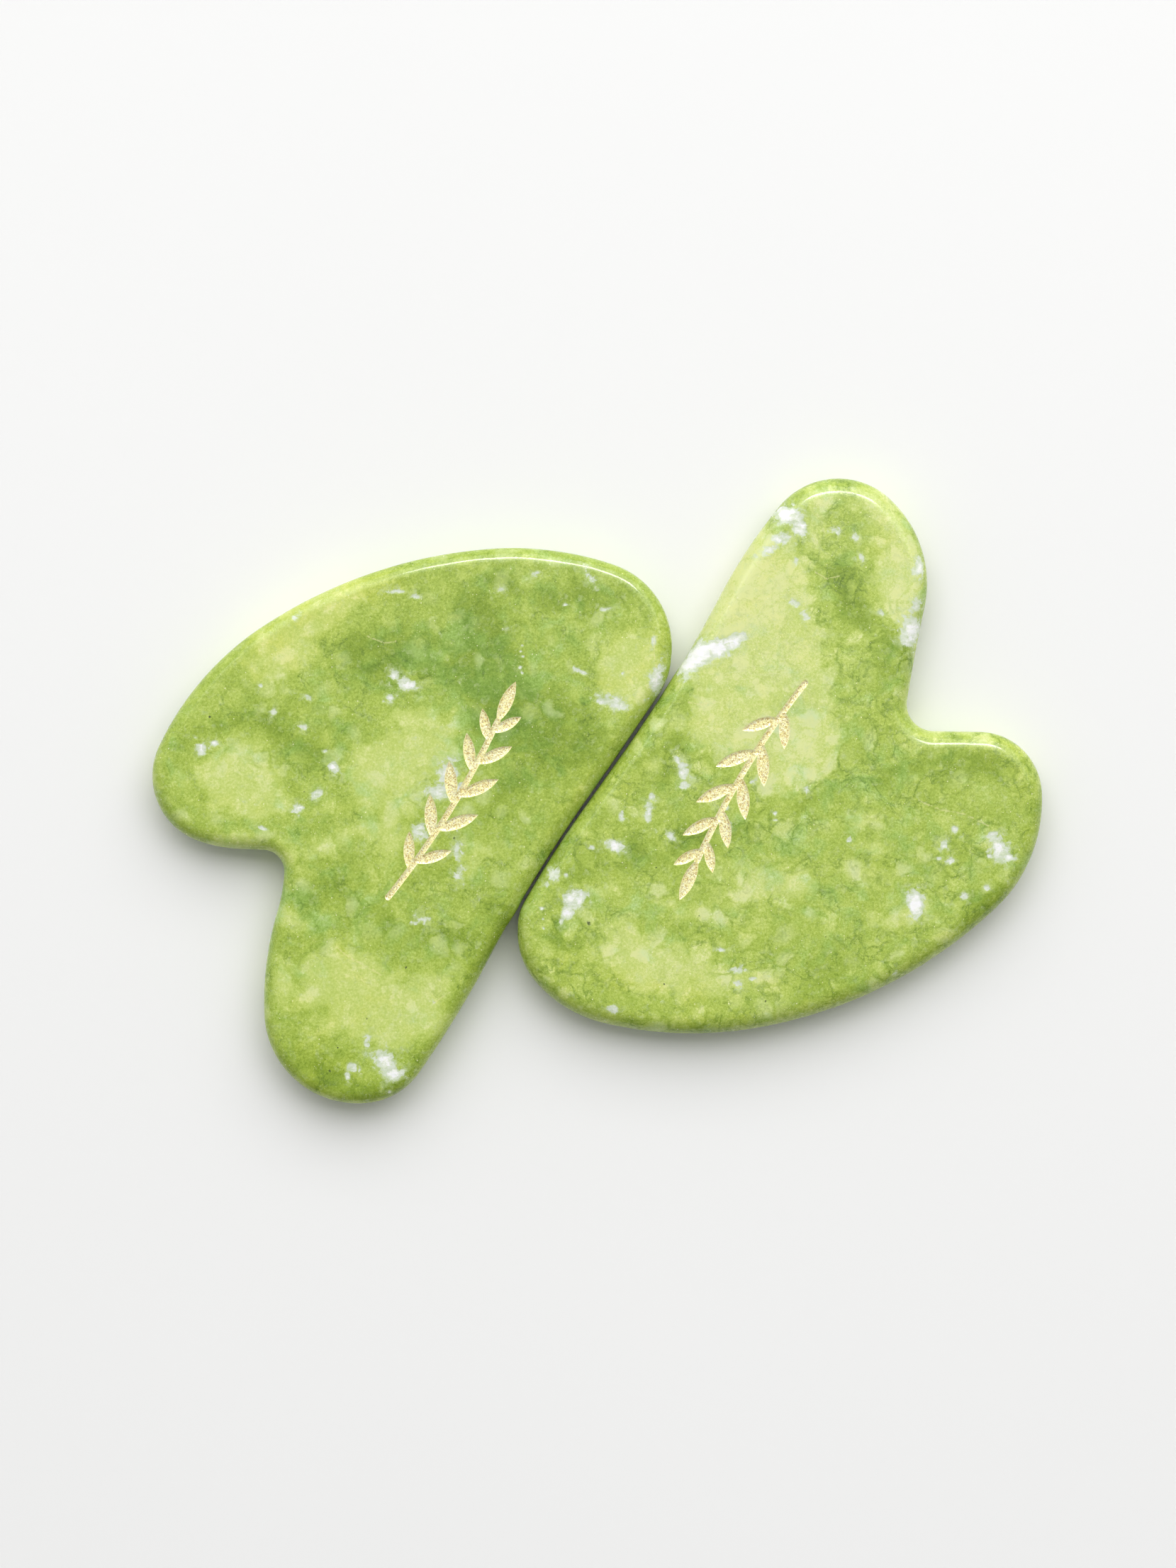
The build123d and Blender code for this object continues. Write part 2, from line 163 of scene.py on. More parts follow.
# Pale clouds (positive) and dark green zones (negative): x, y, half length,
# half width, angle, amount.
ZONES = {
    "left": [
        (-44.0, 19.0, 5.0, 3.0, 20, 0.75), (-50.5, 1.8, 5.5, 4.5, -15, 0.8),
        (-45.5, -2.5, 4.0, 2.2, -10, 0.5), (-34.0, 28.0, 7.0, 2.0, 22, 0.35),
        (-38.0, 24.0, 6.0, 2.5, 30, 0.45), (-26.0, 6.2, 6.5, 3.8, 5, 0.85),
        (-31.0, 2.0, 4.0, 3.0, 0, 0.65), (-25.0, 11.0, 3.0, 1.5, 0, 0.4),
        (-20.5, 20.5, 2.0, 2.0, 0, 0.45), (-22.0, 23.5, 1.5, 1.2, 0, 0.3),
        (4.4, 17.8, 4.2, 3.8, 20, 0.85), (-1.0, 23.4, 2.2, 1.8, 0, -0.4),
        (5.5, 14.5, 2.5, 3.0, 0, 0.6), (-38.0, -8.0, 2.2, 2.0, 0, 0.45),
        (-33.0, -6.0, 3.0, 2.2, 0, 0.55), (-27.5, -1.5, 3.2, 2.2, 40, 0.5), (-20.6, 5.6, 2.0, 2.6, 0, 0.5), (-18.8, 9.6, 1.4, 1.6, 0, 0.5),
        (-41.5, -17.5, 3.5, 2.2, 10, 0.35), (-16.5, -9.5, 3.5, 3.8, 0, 0.5),
        (-17.5, -15.5, 2.5, 1.5, 0, 0.2), (-12.0, -10.5, 1.6, 1.4, 50, 0.2),
        (-33.5, -28.0, 7.5, 5.5, -20, 0.85), (-35.0, -23.5, 4.5, 2.0, 0, 0.5),
        (-22.8, -28.0, 3.4, 4.0, 0, 0.6), (-26.0, -32.5, 4.0, 2.5, 0, 0.45),
        (-43.0, -26.5, 1.6, 3.0, 0, 0.35), (-40.5, -31.0, 3.0, 2.5, 0, 0.25),
        (-57.5, 3.0, 1.8, 2.2, 0, 0.2), (-53.0, 12.5, 4.0, 2.5, 45, 0.15),
        (-8.5, 22.5, 1.6, 1.6, 0, 0.35), (-7.2, 29.5, 2.4, 1.2, 0, 0.7),
        (-14.0, 25.0, 1.4, 1.4, 0, 0.25), (-20.0, -4.0, 3.0, 2.5, 0, 0.25),
        (-17.0, 21.0, 4.2, 6.0, 10, -0.95), (-13.0, 18.0, 3.5, 3.5, 0, -0.55),
        (-28.0, 19.0, 6.0, 4.2, -5, -0.65), (-33.5, 19.5, 3.5, 3.0, 0, -0.35),
        (-12.8, 9.6, 3.4, 3.4, 0, -1.35), (-49.5, -7.6, 4.2, 1.2, 0, 0.6), (-15.6, -24.2, 5.0, 1.3, 56, -0.6), (-6.0, 9.0, 6.0, 3.6, 20, -0.85),
        (-9.4, 3.2, 6.0, 3.4, 55, -0.42), (-2.0, 5.0, 4.0, 2.5, 57, -0.35),
        (-14.5, -3.0, 4.0, 3.0, 55, -0.4), (-4.0, 27.0, 5.0, 2.6, -5, -0.75),
        (2.6, 26.2, 3.0, 2.2, -35, -0.3), (-12.5, 28.8, 3.0, 1.6, 0, -0.45),
        (-40.0, 6.3, 4.5, 2.2, -15, -0.65), (-34.5, 9.5, 4.0, 2.6, -20, -0.35),
        (-51.0, 9.0, 4.0, 1.6, 10, -0.45), (-57.0, 7.5, 1.6, 3.0, 0, -0.4),
        (-55.0, 1.5, 0.8, 3.2, 10, -0.35), (-45.5, 9.0, 2.5, 3.0, 0, -0.3),
        (-37.5, -13.2, 6.0, 2.6, 15, -0.45), (-30.0, -17.2, 6.0, 2.6, -5, -0.42),
        (-21.0, -20.5, 7.0, 2.2, 10, -0.5), (-29.0, -9.6, 3.2, 2.6, 0, 0.3), (-27.6, -5.4, 2.6, 2.2, 0, 0.45), (-34.0, 24.6, 3.0, 2.0, 20, 0.4), (-43.6, -9.0, 2.2, 2.2, 0, 0.4), (-43.0, -17.5, 2.4, 2.0, 0, 0.4),
        (-42.0, -21.0, 3.0, 1.5, 0, -0.3), (-13.0, -19.5, 1.8, 4.0, -32, -0.45),
        (-41.0, -30.5, 1.6, 3.0, 0, -0.2), (-38.0, -30.5, 1.5, 1.0, 0, -0.35),
        (-39.5, -37.5, 4.5, 2.5, -35, -0.5), (-31.5, -41.0, 6.0, 1.8, -3, -0.75),
        (-25.5, -37.0, 2.0, 2.2, 0, -0.4), (-35.0, -36.0, 2.5, 1.2, 0, -0.35),
        (-54.4, 5.0, 2.2, 2.2, 0, -0.3), (-13.8, -14.6, 2.6, 2.2, 40, -0.45), (-20.0, 14.5, 3.5, 2.0, 0, -0.3),
    ],
    "right": [
        (21.5, 27.5, 4.6, 4.8, 60, 1.9), (20.0, 32.0, 2.2, 4.4, -30, 1.5), (17.0, 24.0, 4.6, 2.6, 55, 0.8),
        (19.0, 23.2, 5.4, 3.0, 20, 1.5), (27.5, 20.0, 3.5, 2.2, 0, 1.1),
        (23.0, 16.5, 5.0, 3.2, 0, 0.7), (25.5, 29.5, 2.0, 3.0, 0, 0.7),
        (42.8, 33.5, 2.0, 3.5, 10, 0.7), (41.5, 28.5, 3.0, 3.8, 10, 0.8),
        (42.5, 24.5, 2.0, 2.0, 0, 0.8), (35.0, 21.5, 1.8, 1.6, 0, 0.45),
        (32.0, 15.0, 2.0, 1.5, 0, 0.2), (15.6, 9.0, 3.8, 3.0, 0, 1.0),
        (13.5, 13.5, 3.5, 2.0, 20, 0.35), (10.8, 5.6, 1.8, 2.4, 0, -1.1),
        (25.5, 6.0, 4.6, 4.0, -30, 1.15), (30.5, 7.5, 3.6, 3.6, 0, 0.9),
        (31.0, 3.0, 2.6, 2.0, 0, 0.45), (22.5, 1.0, 2.4, 2.0, 0, 0.45),
        (35.5, 12.5, 2.2, 2.0, 0, 0.2), (3.5, -21.0, 4.0, 2.8, 0, 0.75),
        (8.0, -25.0, 5.0, 3.6, -10, 0.8), (-1.5, -17.5, 2.0, 1.4, 0, 0.2),
        (0.5, -13.5, 2.6, 1.8, 0, 0.4), (14.0, -16.6, 2.8, 2.0, 0, 0.6), (18.8, -17.2, 2.4, 1.6, 0, 0.4), (24.2, -12.6, 2.6, 2.0, 0, 0.35), (38.4, -11.6, 2.4, 1.8, 0, 0.35),
        (16.0, -26.0, 4.0, 3.0, 0, 0.45), (23.5, -26.5, 3.0, 2.0, 0, 0.35),
        (20.5, -13.0, 3.2, 2.4, 0, 0.5), (27.5, -12.8, 2.8, 2.2, 0, 0.5),
        (20.0, -9.5, 2.0, 1.5, 0, 0.3), (34.5, -11.5, 2.2, 1.6, 0, 0.45),
        (38.0, -8.0, 2.0, 1.4, 0, 0.4), (36.5, -4.0, 2.2, 1.5, 0, 0.45),
        (32.0, -5.0, 1.8, 1.5, 0, 0.3), (41.0, -5.5, 1.4, 1.2, 0, 0.25),
        (39.0, -18.5, 3.4, 2.0, 0, 0.45), (43.5, -15.5, 3.0, 3.0, 0, 0.4),
        (29.0, -17.5, 2.4, 1.8, 0, 0.25), (52.5, 1.0, 2.4, 1.6, 0, 0.4),
        (48.5, 7.6, 5.5, 1.3, -3, 0.55), (57.5, 5.5, 1.8, 2.4, 40, 0.35), (60.6, 1.8, 1.2, 3.0, 0, 0.5),
        (49.5, -1.8, 2.6, 1.4, 0, 0.25), (58.5, -2.0, 1.5, 3.0, 0, 0.2),
        (6.0, 7.0, 2.0, 1.4, 0, 0.15), (3.0, 0.0, 1.6, 1.4, 0, 0.25),
        (-6.5, -22.5, 2.0, 2.2, 0, 0.25), (9.5, -15.0, 2.2, 1.6, 0, 0.3),
        (33.6, 29.2, 1.8, 3.4, 5, -0.5), (35.5, 26.5, 2.3, 3.2, 25, -0.75),
        (38.5, 23.0, 2.4, 3.0, 35, -0.75), (41.0, 18.4, 2.1, 3.0, 15, -0.85),
        (39.5, 15.0, 3.0, 2.0, 0, -0.2), (34.4, 38.6, 1.8, 1.8, 0, -0.4),
        (39.0, 38.2, 4.2, 3.0, -40, 0.6), (30.2, 38.6, 3.0, 2.6, 0, 0.55), (29.8, 34.2, 2.0, 2.4, 0, 0.3),
        (33.0, 20.0, 2.0, 3.0, 0, -0.3), (28.6, -1.6, 3.6, 1.2, 20, -0.4),
        (36.6, 1.6, 4.0, 1.4, 15, -0.4), (43.0, 2.6, 4.0, 1.8, 8, -0.55),
        (50.5, 3.2, 4.2, 2.1, 12, -1.05), (36.0, 5.5, 2.4, 2.2, 0, -0.35),
        (55.5, 3.0, 2.0, 1.6, 0, -0.45), (44.5, 6.0, 2.6, 1.4, 0, -0.3),
        (20.5, -4.5, 4.5, 1.6, 10, -0.45), (13.8, -6.0, 3.8, 2.4, 0, -1.0),
        (6.0, -9.5, 5.0, 2.6, -15, -0.45), (-2.4, -9.6, 3.0, 2.4, 60, -0.6), (-4.4, -18.0, 1.6, 1.8, 0, -0.35),
        (9.0, 1.5, 1.6, 2.6, 0, -0.35), (6.0, 3.5, 2.6, 2.0, 30, -0.4),
        (10.5, 10.5, 2.2, 2.0, 0, -0.35), (-5.0, -20.0, 2.2, 2.4, 0, -0.35),
        (-2.0, -21.0, 1.4, 2.4, 0, -0.35), (9.5, -18.6, 1.8, 1.0, 0, -0.35),
        (26.5, -22.5, 5.0, 2.0, 5, -0.3), (34.0, -24.4, 4.2, 1.6, 20, -0.35),
        (20.5, -21.5, 3.0, 1.4, 0, -0.1), (37.5, -21.0, 2.5, 1.4, 0, -0.25),
        (11.5, -32.2, 5.0, 1.8, 0, -0.75), (37.0, -27.6, 4.0, 1.2, 28, -0.5), (27.5, -28.5, 5.0, 1.5, 15, -0.45),
        (23.5, -16.6, 3.0, 1.0, 0, -0.12), (24.0, -8.5, 3.0, 1.2, -10, -0.2),
        (47.0, -11.5, 3.5, 2.4, 0, -0.4), (53.6, -15.4, 4.2, 2.0, 45, -0.75),
        (55.0, -3.0, 2.6, 1.6, 0, -0.3), (45.5, -1.5, 2.4, 1.4, 0, -0.25),
        (50.0, -9.5, 1.6, 1.2, 0, -0.3), (43.5, -9.5, 1.6, 2.0, 0, -0.25),
        (17.6, 13.4, 3.8, 2.6, 0, 0.75), (28.2, 14.8, 3.2, 3.2, 0, 0.8), (43.0, 12.6, 2.0, 2.2, 0, 0.55), (40.5, 9.0, 2.5, 1.6, 0, -0.2),
    ],
}

# Warmer, yellower stone along some edges and near some veins.
WARM = {
    "left": [
        (-40.0, 23.0, 12.0, 4.0, 35, 0.8), (-30.0, 28.0, 8.0, 2.5, 20, 0.8),
        (-46.0, 20.5, 4.0, 3.0, 30, 0.6), (-50.0, 0.0, 6.0, 5.0, 0, 0.35),
        (-27.0, 8.5, 5.0, 2.0, 0, 0.35), (-33.0, -30.0, 8.0, 6.0, 0, 0.5),
        (-39.5, -37.5, 5.0, 4.0, 0, 0.8), (-31.0, -41.5, 8.0, 2.5, 0, 0.8),
        (-24.5, -8.0, 5.0, 5.0, 30, 0.4), (4.5, 17.0, 4.5, 6.0, 0, 0.5),
        (8.8, 20.0, 1.6, 7.0, 0, 0.8), (-35.0, -22.0, 2.2, 0.8, -35, 0.8),
        (-13.0, 23.0, 4.0, 3.0, 0, 0.35), (-2.5, 0.0, 7.0, 1.4, 56, 0.7),
        (-15.0, -21.0, 9.0, 1.4, 60, 0.5), (-15.0, 18.5, 6.5, 6.5, 0, -0.5),
        (-13.5, 9.0, 5.0, 4.5, 0, -0.5), (-27.0, 18.5, 7.0, 4.5, 0, -0.3), (-34.0, -15.0, 9.0, 4.0, 0, -0.25),
    ],
    "right": [
        (21.5, 28.0, 5.0, 6.0, 60, 0.42), (18.0, 25.0, 3.0, 9.0, -30, 0.22),
        (29.0, 20.5, 3.0, 2.0, 0, 0.6), (24.0, 33.0, 3.0, 3.0, 0, 0.5),
        (56.0, 6.0, 5.0, 3.5, -30, 0.9), (44.5, 8.5, 5.0, 2.0, -10, 0.8),
        (59.5, 0.0, 2.0, 6.0, 0, 0.6), (8.0, -26.0, 8.0, 4.0, 0, 0.5),
        (-1.0, -26.0, 7.0, 3.0, -35, 0.6), (4.0, 0.0, 5.0, 2.5, 56, 0.5),
        (0.0, -6.0, 5.0, 2.0, 56, 0.5), (38.0, 37.0, 4.0, 4.0, 0, 0.4),
        (42.0, 31.0, 3.0, 6.0, 0, 0.35), (20.0, -30.0, 14.0, 2.5, 5, 0.4),
        (50.0, -20.0, 9.0, 2.0, 38, 0.4), (17.0, 12.0, 6.0, 4.0, 0, 0.35),
    ],
}

# Healed hairline cracks, as short polylines on the engraved face.
CRACKS = {
    "left": [
        [(-36.3, -21.2), (-34.2, -22.8), (-32.1, -24.0), (-29.6, -25.4)],
        [(-22.6, -29.3), (-21.3, -28.3), (-20.2, -27.7)],
        [(7.9, 21.0), (7.8, 18.8), (8.2, 16.8)],
        [(-31.5, 21.2), (-29.2, 20.3), (-27.6, 20.6)],
    ],
    "right": [
        [(12.2, 12.2), (14.4, 11.9), (16.6, 12.3)],
        [(29.8, 30.2), (31.6, 29.2), (33.4, 29.6)],
        [(-9.2, -14.2), (-8.6, -15.6), (-8.1, -16.9)],
        [(44.0, -1.2), (47.2, -2.6), (50.6, -3.2), (53.8, -4.8)],
    ],
}

# Tiny black mineral grains: x, y, radius.
GRAINS = {
    "left": [
        (-53.3, 10.2, 0.22), (-19.7, -6.5, 0.2), (-26.3, -24.3, 0.18), (-31.5, -19.4, 0.13),
        (-36.8, -38.5, 0.2), (-31.7, -31.3, 0.13), (-40.3, -0.1, 0.12), (-35.7, -35.3, 0.14),
    ],
    "right": [
        (-1.2, -18.2, 0.33), (8.1, -10.5, 0.16), (23.2, -28.9, 0.16), (13.8, -33.0, 0.3),
        (14.0, -17.2, 0.14), (31.4, -20.1, 0.12), (9.2, -26.6, 0.12), (35.2, 42.1, 0.1),
    ],
}


# -------------------------------------------------------------------- outlines
def straight_lengths(heading, runs):
    gx = gy = 0.0
    turns = []
    for radius, sweep in runs:
        here = math.radians(heading)
        if radius is None:
            turns.append(here)
        else:
            there = math.radians(heading + sweep)
            side = 1 if sweep > 0 else -1
            gx += side * radius * (math.sin(there) - math.sin(here))
            gy += side * radius * (math.cos(here) - math.cos(there))
            heading += sweep
    a, b = turns
    det = math.cos(a) * math.sin(b) - math.cos(b) * math.sin(a)
    return [(-gx * math.sin(b) + gy * math.cos(b)) / det, (-gy * math.cos(a) + gx * math.sin(a)) / det]


def walk_outline(spec, step):
    """Points, outward normals and arc length around the outline."""
    x, y = spec["start"]
    h = math.radians(spec["heading"])
    straight = straight_lengths(spec["heading"], spec["runs"])
    pts, heads = [], []
    for radius, sweep in spec["runs"]:
        if radius is None:
            length = straight.pop(0)
            n = max(2, round(length / step))
            for k in range(n):
                t = length * k / n
                pts.append((x + math.cos(h) * t, y + math.sin(h) * t))
                heads.append(h)
            x += math.cos(h) * length
            y += math.sin(h) * length
        else:
            side = 1 if sweep > 0 else -1
            turn = math.radians(sweep)
            n = max(2, round(abs(turn) * radius / step))
            cx, cy = x - side * radius * math.sin(h), y + side * radius * math.cos(h)
            for k in range(n):
                a = h + turn * k / n
                pts.append((cx + side * radius * math.sin(a), cy - side * radius * math.cos(a)))
                heads.append(a)
            h += turn
            x, y = cx + side * radius * math.sin(h), cy - side * radius * math.cos(h)
    pts = np.array(pts)
    heads = np.array(heads)
    normals = np.c_[np.sin(heads), -np.cos(heads)]
    gaps = np.hypot(*(np.roll(pts, -1, 0) - pts).T)
    arc = np.r_[0, np.cumsum(gaps)[:-1]]
    return pts, normals, arc, gaps.sum()


def wave(arc, total, seed, cycles, amount):
    """A smooth closed wave around the outline, for a hand-ground edge."""
    rng = np.random.RandomState(seed)
    out = np.zeros_like(arc)
    for k, share in cycles:
        out += share * np.sin(2 * math.pi * k * arc / total + rng.uniform(0, 2 * math.pi))
    return amount * out


def inside(poly, pts):
    """Even-odd test of many points against one polygon."""
    a, b = poly, np.roll(poly, -1, 0)
    hit = np.zeros(len(pts), bool)
    for lo in range(0, len(pts), 4000):
        p = pts[lo:lo + 4000]
        cross = (a[None, :, 1] > p[:, None, 1]) != (b[None, :, 1] > p[:, None, 1])
        with np.errstate(divide="ignore", invalid="ignore"):
            at = a[None, :, 0] + (p[:, None, 1] - a[None, :, 1]) * (b[None, :, 0] - a[None, :, 0]) / (
                b[None, :, 1] - a[None, :, 1])
        hit[lo:lo + 4000] = (cross & (p[:, None, 0] < at)).sum(1) % 2 == 1
    return hit


def lattice(low, high, step, rng, jitter=0.22):
    rows = int((high[1] - low[1]) / (step * 0.8660254)) + 2
    cols = int((high[0] - low[0]) / step) + 2
    j, i = np.mgrid[0:rows, 0:cols]
    p = np.c_[(low[0] + (i + 0.5 * (j % 2)) * step).ravel(), (low[1] + j * step * 0.8660254).ravel()]
    return p + rng.uniform(-jitter, jitter, p.shape) * step


def near(points, others, limit):
    """True where a point lies within limit of any of the others."""
    tree = KDTree(len(others))
    for k, p in enumerate(others):
        tree.insert((p[0], p[1], 0), k)
    tree.balance()
    return np.array([tree.find((p[0], p[1], 0))[2] < limit for p in points], bool)


def outline_tree(outline):
    tree = KDTree(len(outline))
    for k, p in enumerate(outline):
        tree.insert((p[0], p[1], 0), k)
    tree.balance()
    return tree


def near_distance(points, outline):
    tree = outline_tree(outline)
    return np.array([tree.find((p[0], p[1], 0))[2] for p in points])


# ---------------------------------------------------------------- leaf sprig
def bow(a, b, sagitta, n):
    """Points on the arc from a to b that rises by sagitta to the left."""
    a, b = np.array(a, float), np.array(b, float)
    chord = b - a
    c = np.hypot(*chord)
    u = chord / c
    left = np.array([-u[1], u[0]])
    if abs(sagitta) < 1e-6:
        return a + np.linspace(0, 1, n)[:, None] * chord, np.tile(u, (n, 1))
    r = (c * c / 4 + sagitta * sagitta) / (2 * abs(sagitta))
    s = 1 if sagitta > 0 else -1
    centre = (a + b) / 2 + left * (sagitta - s * r)
    half = math.asin(min(1.0, c / 2 / r))
    ang = np.linspace(-half, half, n)
    p = centre + r * (np.sin(ang)[:, None] * u + s * np.cos(ang)[:, None] * left)
    t = np.cos(ang)[:, None] * u - s * np.sin(ang)[:, None] * left
    return p, t


def sprig(step):
    """Closed polygons of the stem and the leaves, in the sprig's own frame."""
    polys = []
    end_x = MARK_LENGTH / 2 - END_LEAF[0]
    start = (-MARK_LENGTH / 2 + STEM_WIDTH / 2, -STEM_BOW / 2)
    finish = (end_x, -STEM_BOW / 2)
    n = int((finish[0] - start[0]) / step) + 1
    line, tangent = bow(start, finish, -STEM_BOW, n)
    side = np.c_[-tangent[:, 1], tangent[:, 0]]
    r = STEM_WIDTH / 2
    caps = max(6, int(math.pi * r / step))
    turn = np.linspace(0, math.pi, caps + 1)[1:-1]
    def cap(p, t, s):
        return np.array([p + r * (np.cos(q) * s + np.sin(q) * t) for q in turn])
    right = line - side * r
    left = line + side * r
    polys.append(np.vstack([
        right, cap(line[-1], tangent[-1], -side[-1]), left[::-1], cap(line[0], -tangent[0], side[0])]))

    def leaf(base, tip, width):
        m = max(8, int(np.hypot(*(np.array(tip) - base)) / step))
        one, _ = bow(base, tip, -width / 2, m)
        two, _ = bow(tip, base, -width / 2, m)
        polys.append(np.vstack([one[:-1], two[:-1]]))

    span = finish[0] - start[0]
    fine, fine_t = bow(start, finish, -STEM_BOW, 4001)
    for station, length, width in LEAF_PAIRS:
        for s in (1, -1):
            x = station + (0 if s > 0 else LEAF_STAGGER)
            k = int(round((x - start[0]) / span * 4000))
            base, t = fine[k], fine_t[k]
            q = math.radians(s * LEAF_SPLAY)
            d = np.array([t[0] * math.cos(q) - t[1] * math.sin(q), t[0] * math.sin(q) + t[1] * math.cos(q)])
            leaf(base, base + d * length, width)
    leaf(fine[-1] - fine_t[-1] * 0.3, fine[-1] + fine_t[-1] * END_LEAF[0], END_LEAF[1])
    return polys


def placed(poly, mark):
    (cx, cy), ang = mark
    c, s = math.cos(math.radians(ang)), math.sin(math.radians(ang))
    return np.c_[cx + poly[:, 0] * c - poly[:, 1] * s, cy + poly[:, 0] * s + poly[:, 1] * c]


# ------------------------------------------------------------ fields in stone
def perlin(points, scale, seed):
    off = Vector((seed * 7.31, seed * 3.17, seed * 5.53))
    return np.array([noise.noise(Vector(p) * scale + off) for p in points])


def blobs(p, table, soft):
    out = np.zeros(len(p))
    for x, y, a, b, ang, amount in table:
        c, s = math.cos(math.radians(ang)), math.sin(math.radians(ang))
        dx, dy = p[:, 0] - x, p[:, 1] - y
        u, v = (dx * c + dy * s) / a, (-dx * s + dy * c) / b
        out += amount * np.exp(-soft * (u * u + v * v))
    return out


def fleck_field(p, table, top, depth):
    out = np.zeros(len(p))
    for x, y, a, b, ang, strength in table:
        c, s = math.cos(math.radians(ang)), math.sin(math.radians(ang))
        dx, dy = p[:, 0] - x, p[:, 1] - y
        dz = (p[:, 2] - top) / (depth + 0.8 * max(a, b))
        u, v = (dx * c + dy * s) / a, (-dx * s + dy * c) / b
        q = np.sqrt(u * u + v * v + dz * dz)
        out = np.maximum(out, strength / (1 + q ** 3))
    return out


def line_field(p, lines, width):
    out = np.zeros(len(p))
    for line in lines:
        for a, b in zip(line[:-1], line[1:]):
            a, b = np.array(a), np.array(b)
            d = b - a
            t = np.clip(((p[:, :2] - a) @ d) / (d @ d), 0, 1)
            near_pt = a + t[:, None] * d
            dist = np.hypot(*(p[:, :2] - near_pt).T)
            out = np.maximum(out, np.exp(-(dist / width) ** 2) * np.clip(1 - (THICK - p[:, 2]) / 2.0, 0, 1))
    return out


def stone_fields(p, key, seed):
    """The four colour fields of a slab at many points: zone, fleck, warmth, crack or grain."""
    q = p.copy()
    wob = np.c_[perlin(p, 0.16, seed), perlin(p, 0.16, seed + 5)] * 3.2
    wob += np.c_[perlin(p, 0.45, seed + 9), perlin(p, 0.45, seed + 13)] * 1.2
    q[:, :2] += wob * 0.55
    # the clouds lean a little as they run down through the slab
    lean = (THICK - p[:, 2])
    q[:, 0] += lean * 0.5
    q[:, 1] -= lean * 0.35
    zone = blobs(q, ZONES[key], 0.85)
    warm = blobs(q, WARM[key], 0.8)
    fl = fleck_field(p, FLECKS[key], THICK, 1.0)
    rng = np.random.RandomState(seed * 3 + 1)
    pts = [s[:2] for s in UNDER[key]]
    under = []
    for x, y in pts:
        a = rng.uniform(0.3, 1.3)
        under.append((x, y, a, a * rng.uniform(0.45, 1.0), rng.uniform(0, 180), rng.uniform(0.75, 1.2)))
    fl = np.maximum(fl, fleck_field(p, under, 0.0, 1.2))
    mark = line_field(p, CRACKS[key], 0.13)
    grain = np.zeros(len(p))
    for x, y, r in GRAINS[key]:
        grain = np.maximum(grain, np.exp(-((p[:, 0] - x) ** 2 + (p[:, 1] - y) ** 2 + (p[:, 2] - THICK) ** 2) / (r * r)))
    return zone, fl, warm, mark - grain


# Flecks of the underside: seeded places inside each outline.
UNDER = {}
for key, spec in OUTLINES.items():
    pts0, nrm0, _, _ = walk_outline(spec, 1.0)
    rng = np.random.RandomState(spec["seed"] + 100)
    lo, hi = pts0.min(0), pts0.max(0)
    cand = rng.uniform(lo, hi, (90, 2))
    cand = cand[inside(pts0 - nrm0 * 1.5, cand)]
    UNDER[key] = [tuple(c) for c in cand[:34]]


# ---------------------------------------------------------------- mesh making
def cdt(boundary, loose, polys):
    """Triangles inside the boundary, each with a flag for lying in one of the polys."""
    verts = [Vector((float(x), float(y))) for x, y in boundary]
    verts += [Vector((float(x), float(y))) for x, y in loose]
    faces = [list(range(len(boundary)))]
    for poly in polys:
        k = len(verts)
        verts += [Vector((float(x), float(y))) for x, y in poly]
        faces.append(list(range(k, k + len(poly))))
    out = delaunay_2d_cdt(verts, [], faces, 1, 1e-5, True)
    co = np.array([(v.x, v.y) for v in out[0]])
    tris, flags = [], []
    for f, src in zip(out[2], out[5]):
        if len(f) == 3 and 0 in src:
            tris.append(f)
            flags.append(any(s > 0 for s in src))
    return co, np.array(tris), np.array(flags), out[3]


def mesh_object(name, verts, faces, collection=None):
    me = bpy.data.meshes.new(name)
    me.from_pydata([tuple(v) for v in verts], [], faces)
    me.update()
    ob = bpy.data.objects.new(name, me)
    scene.collection.objects.link(ob)
    return ob


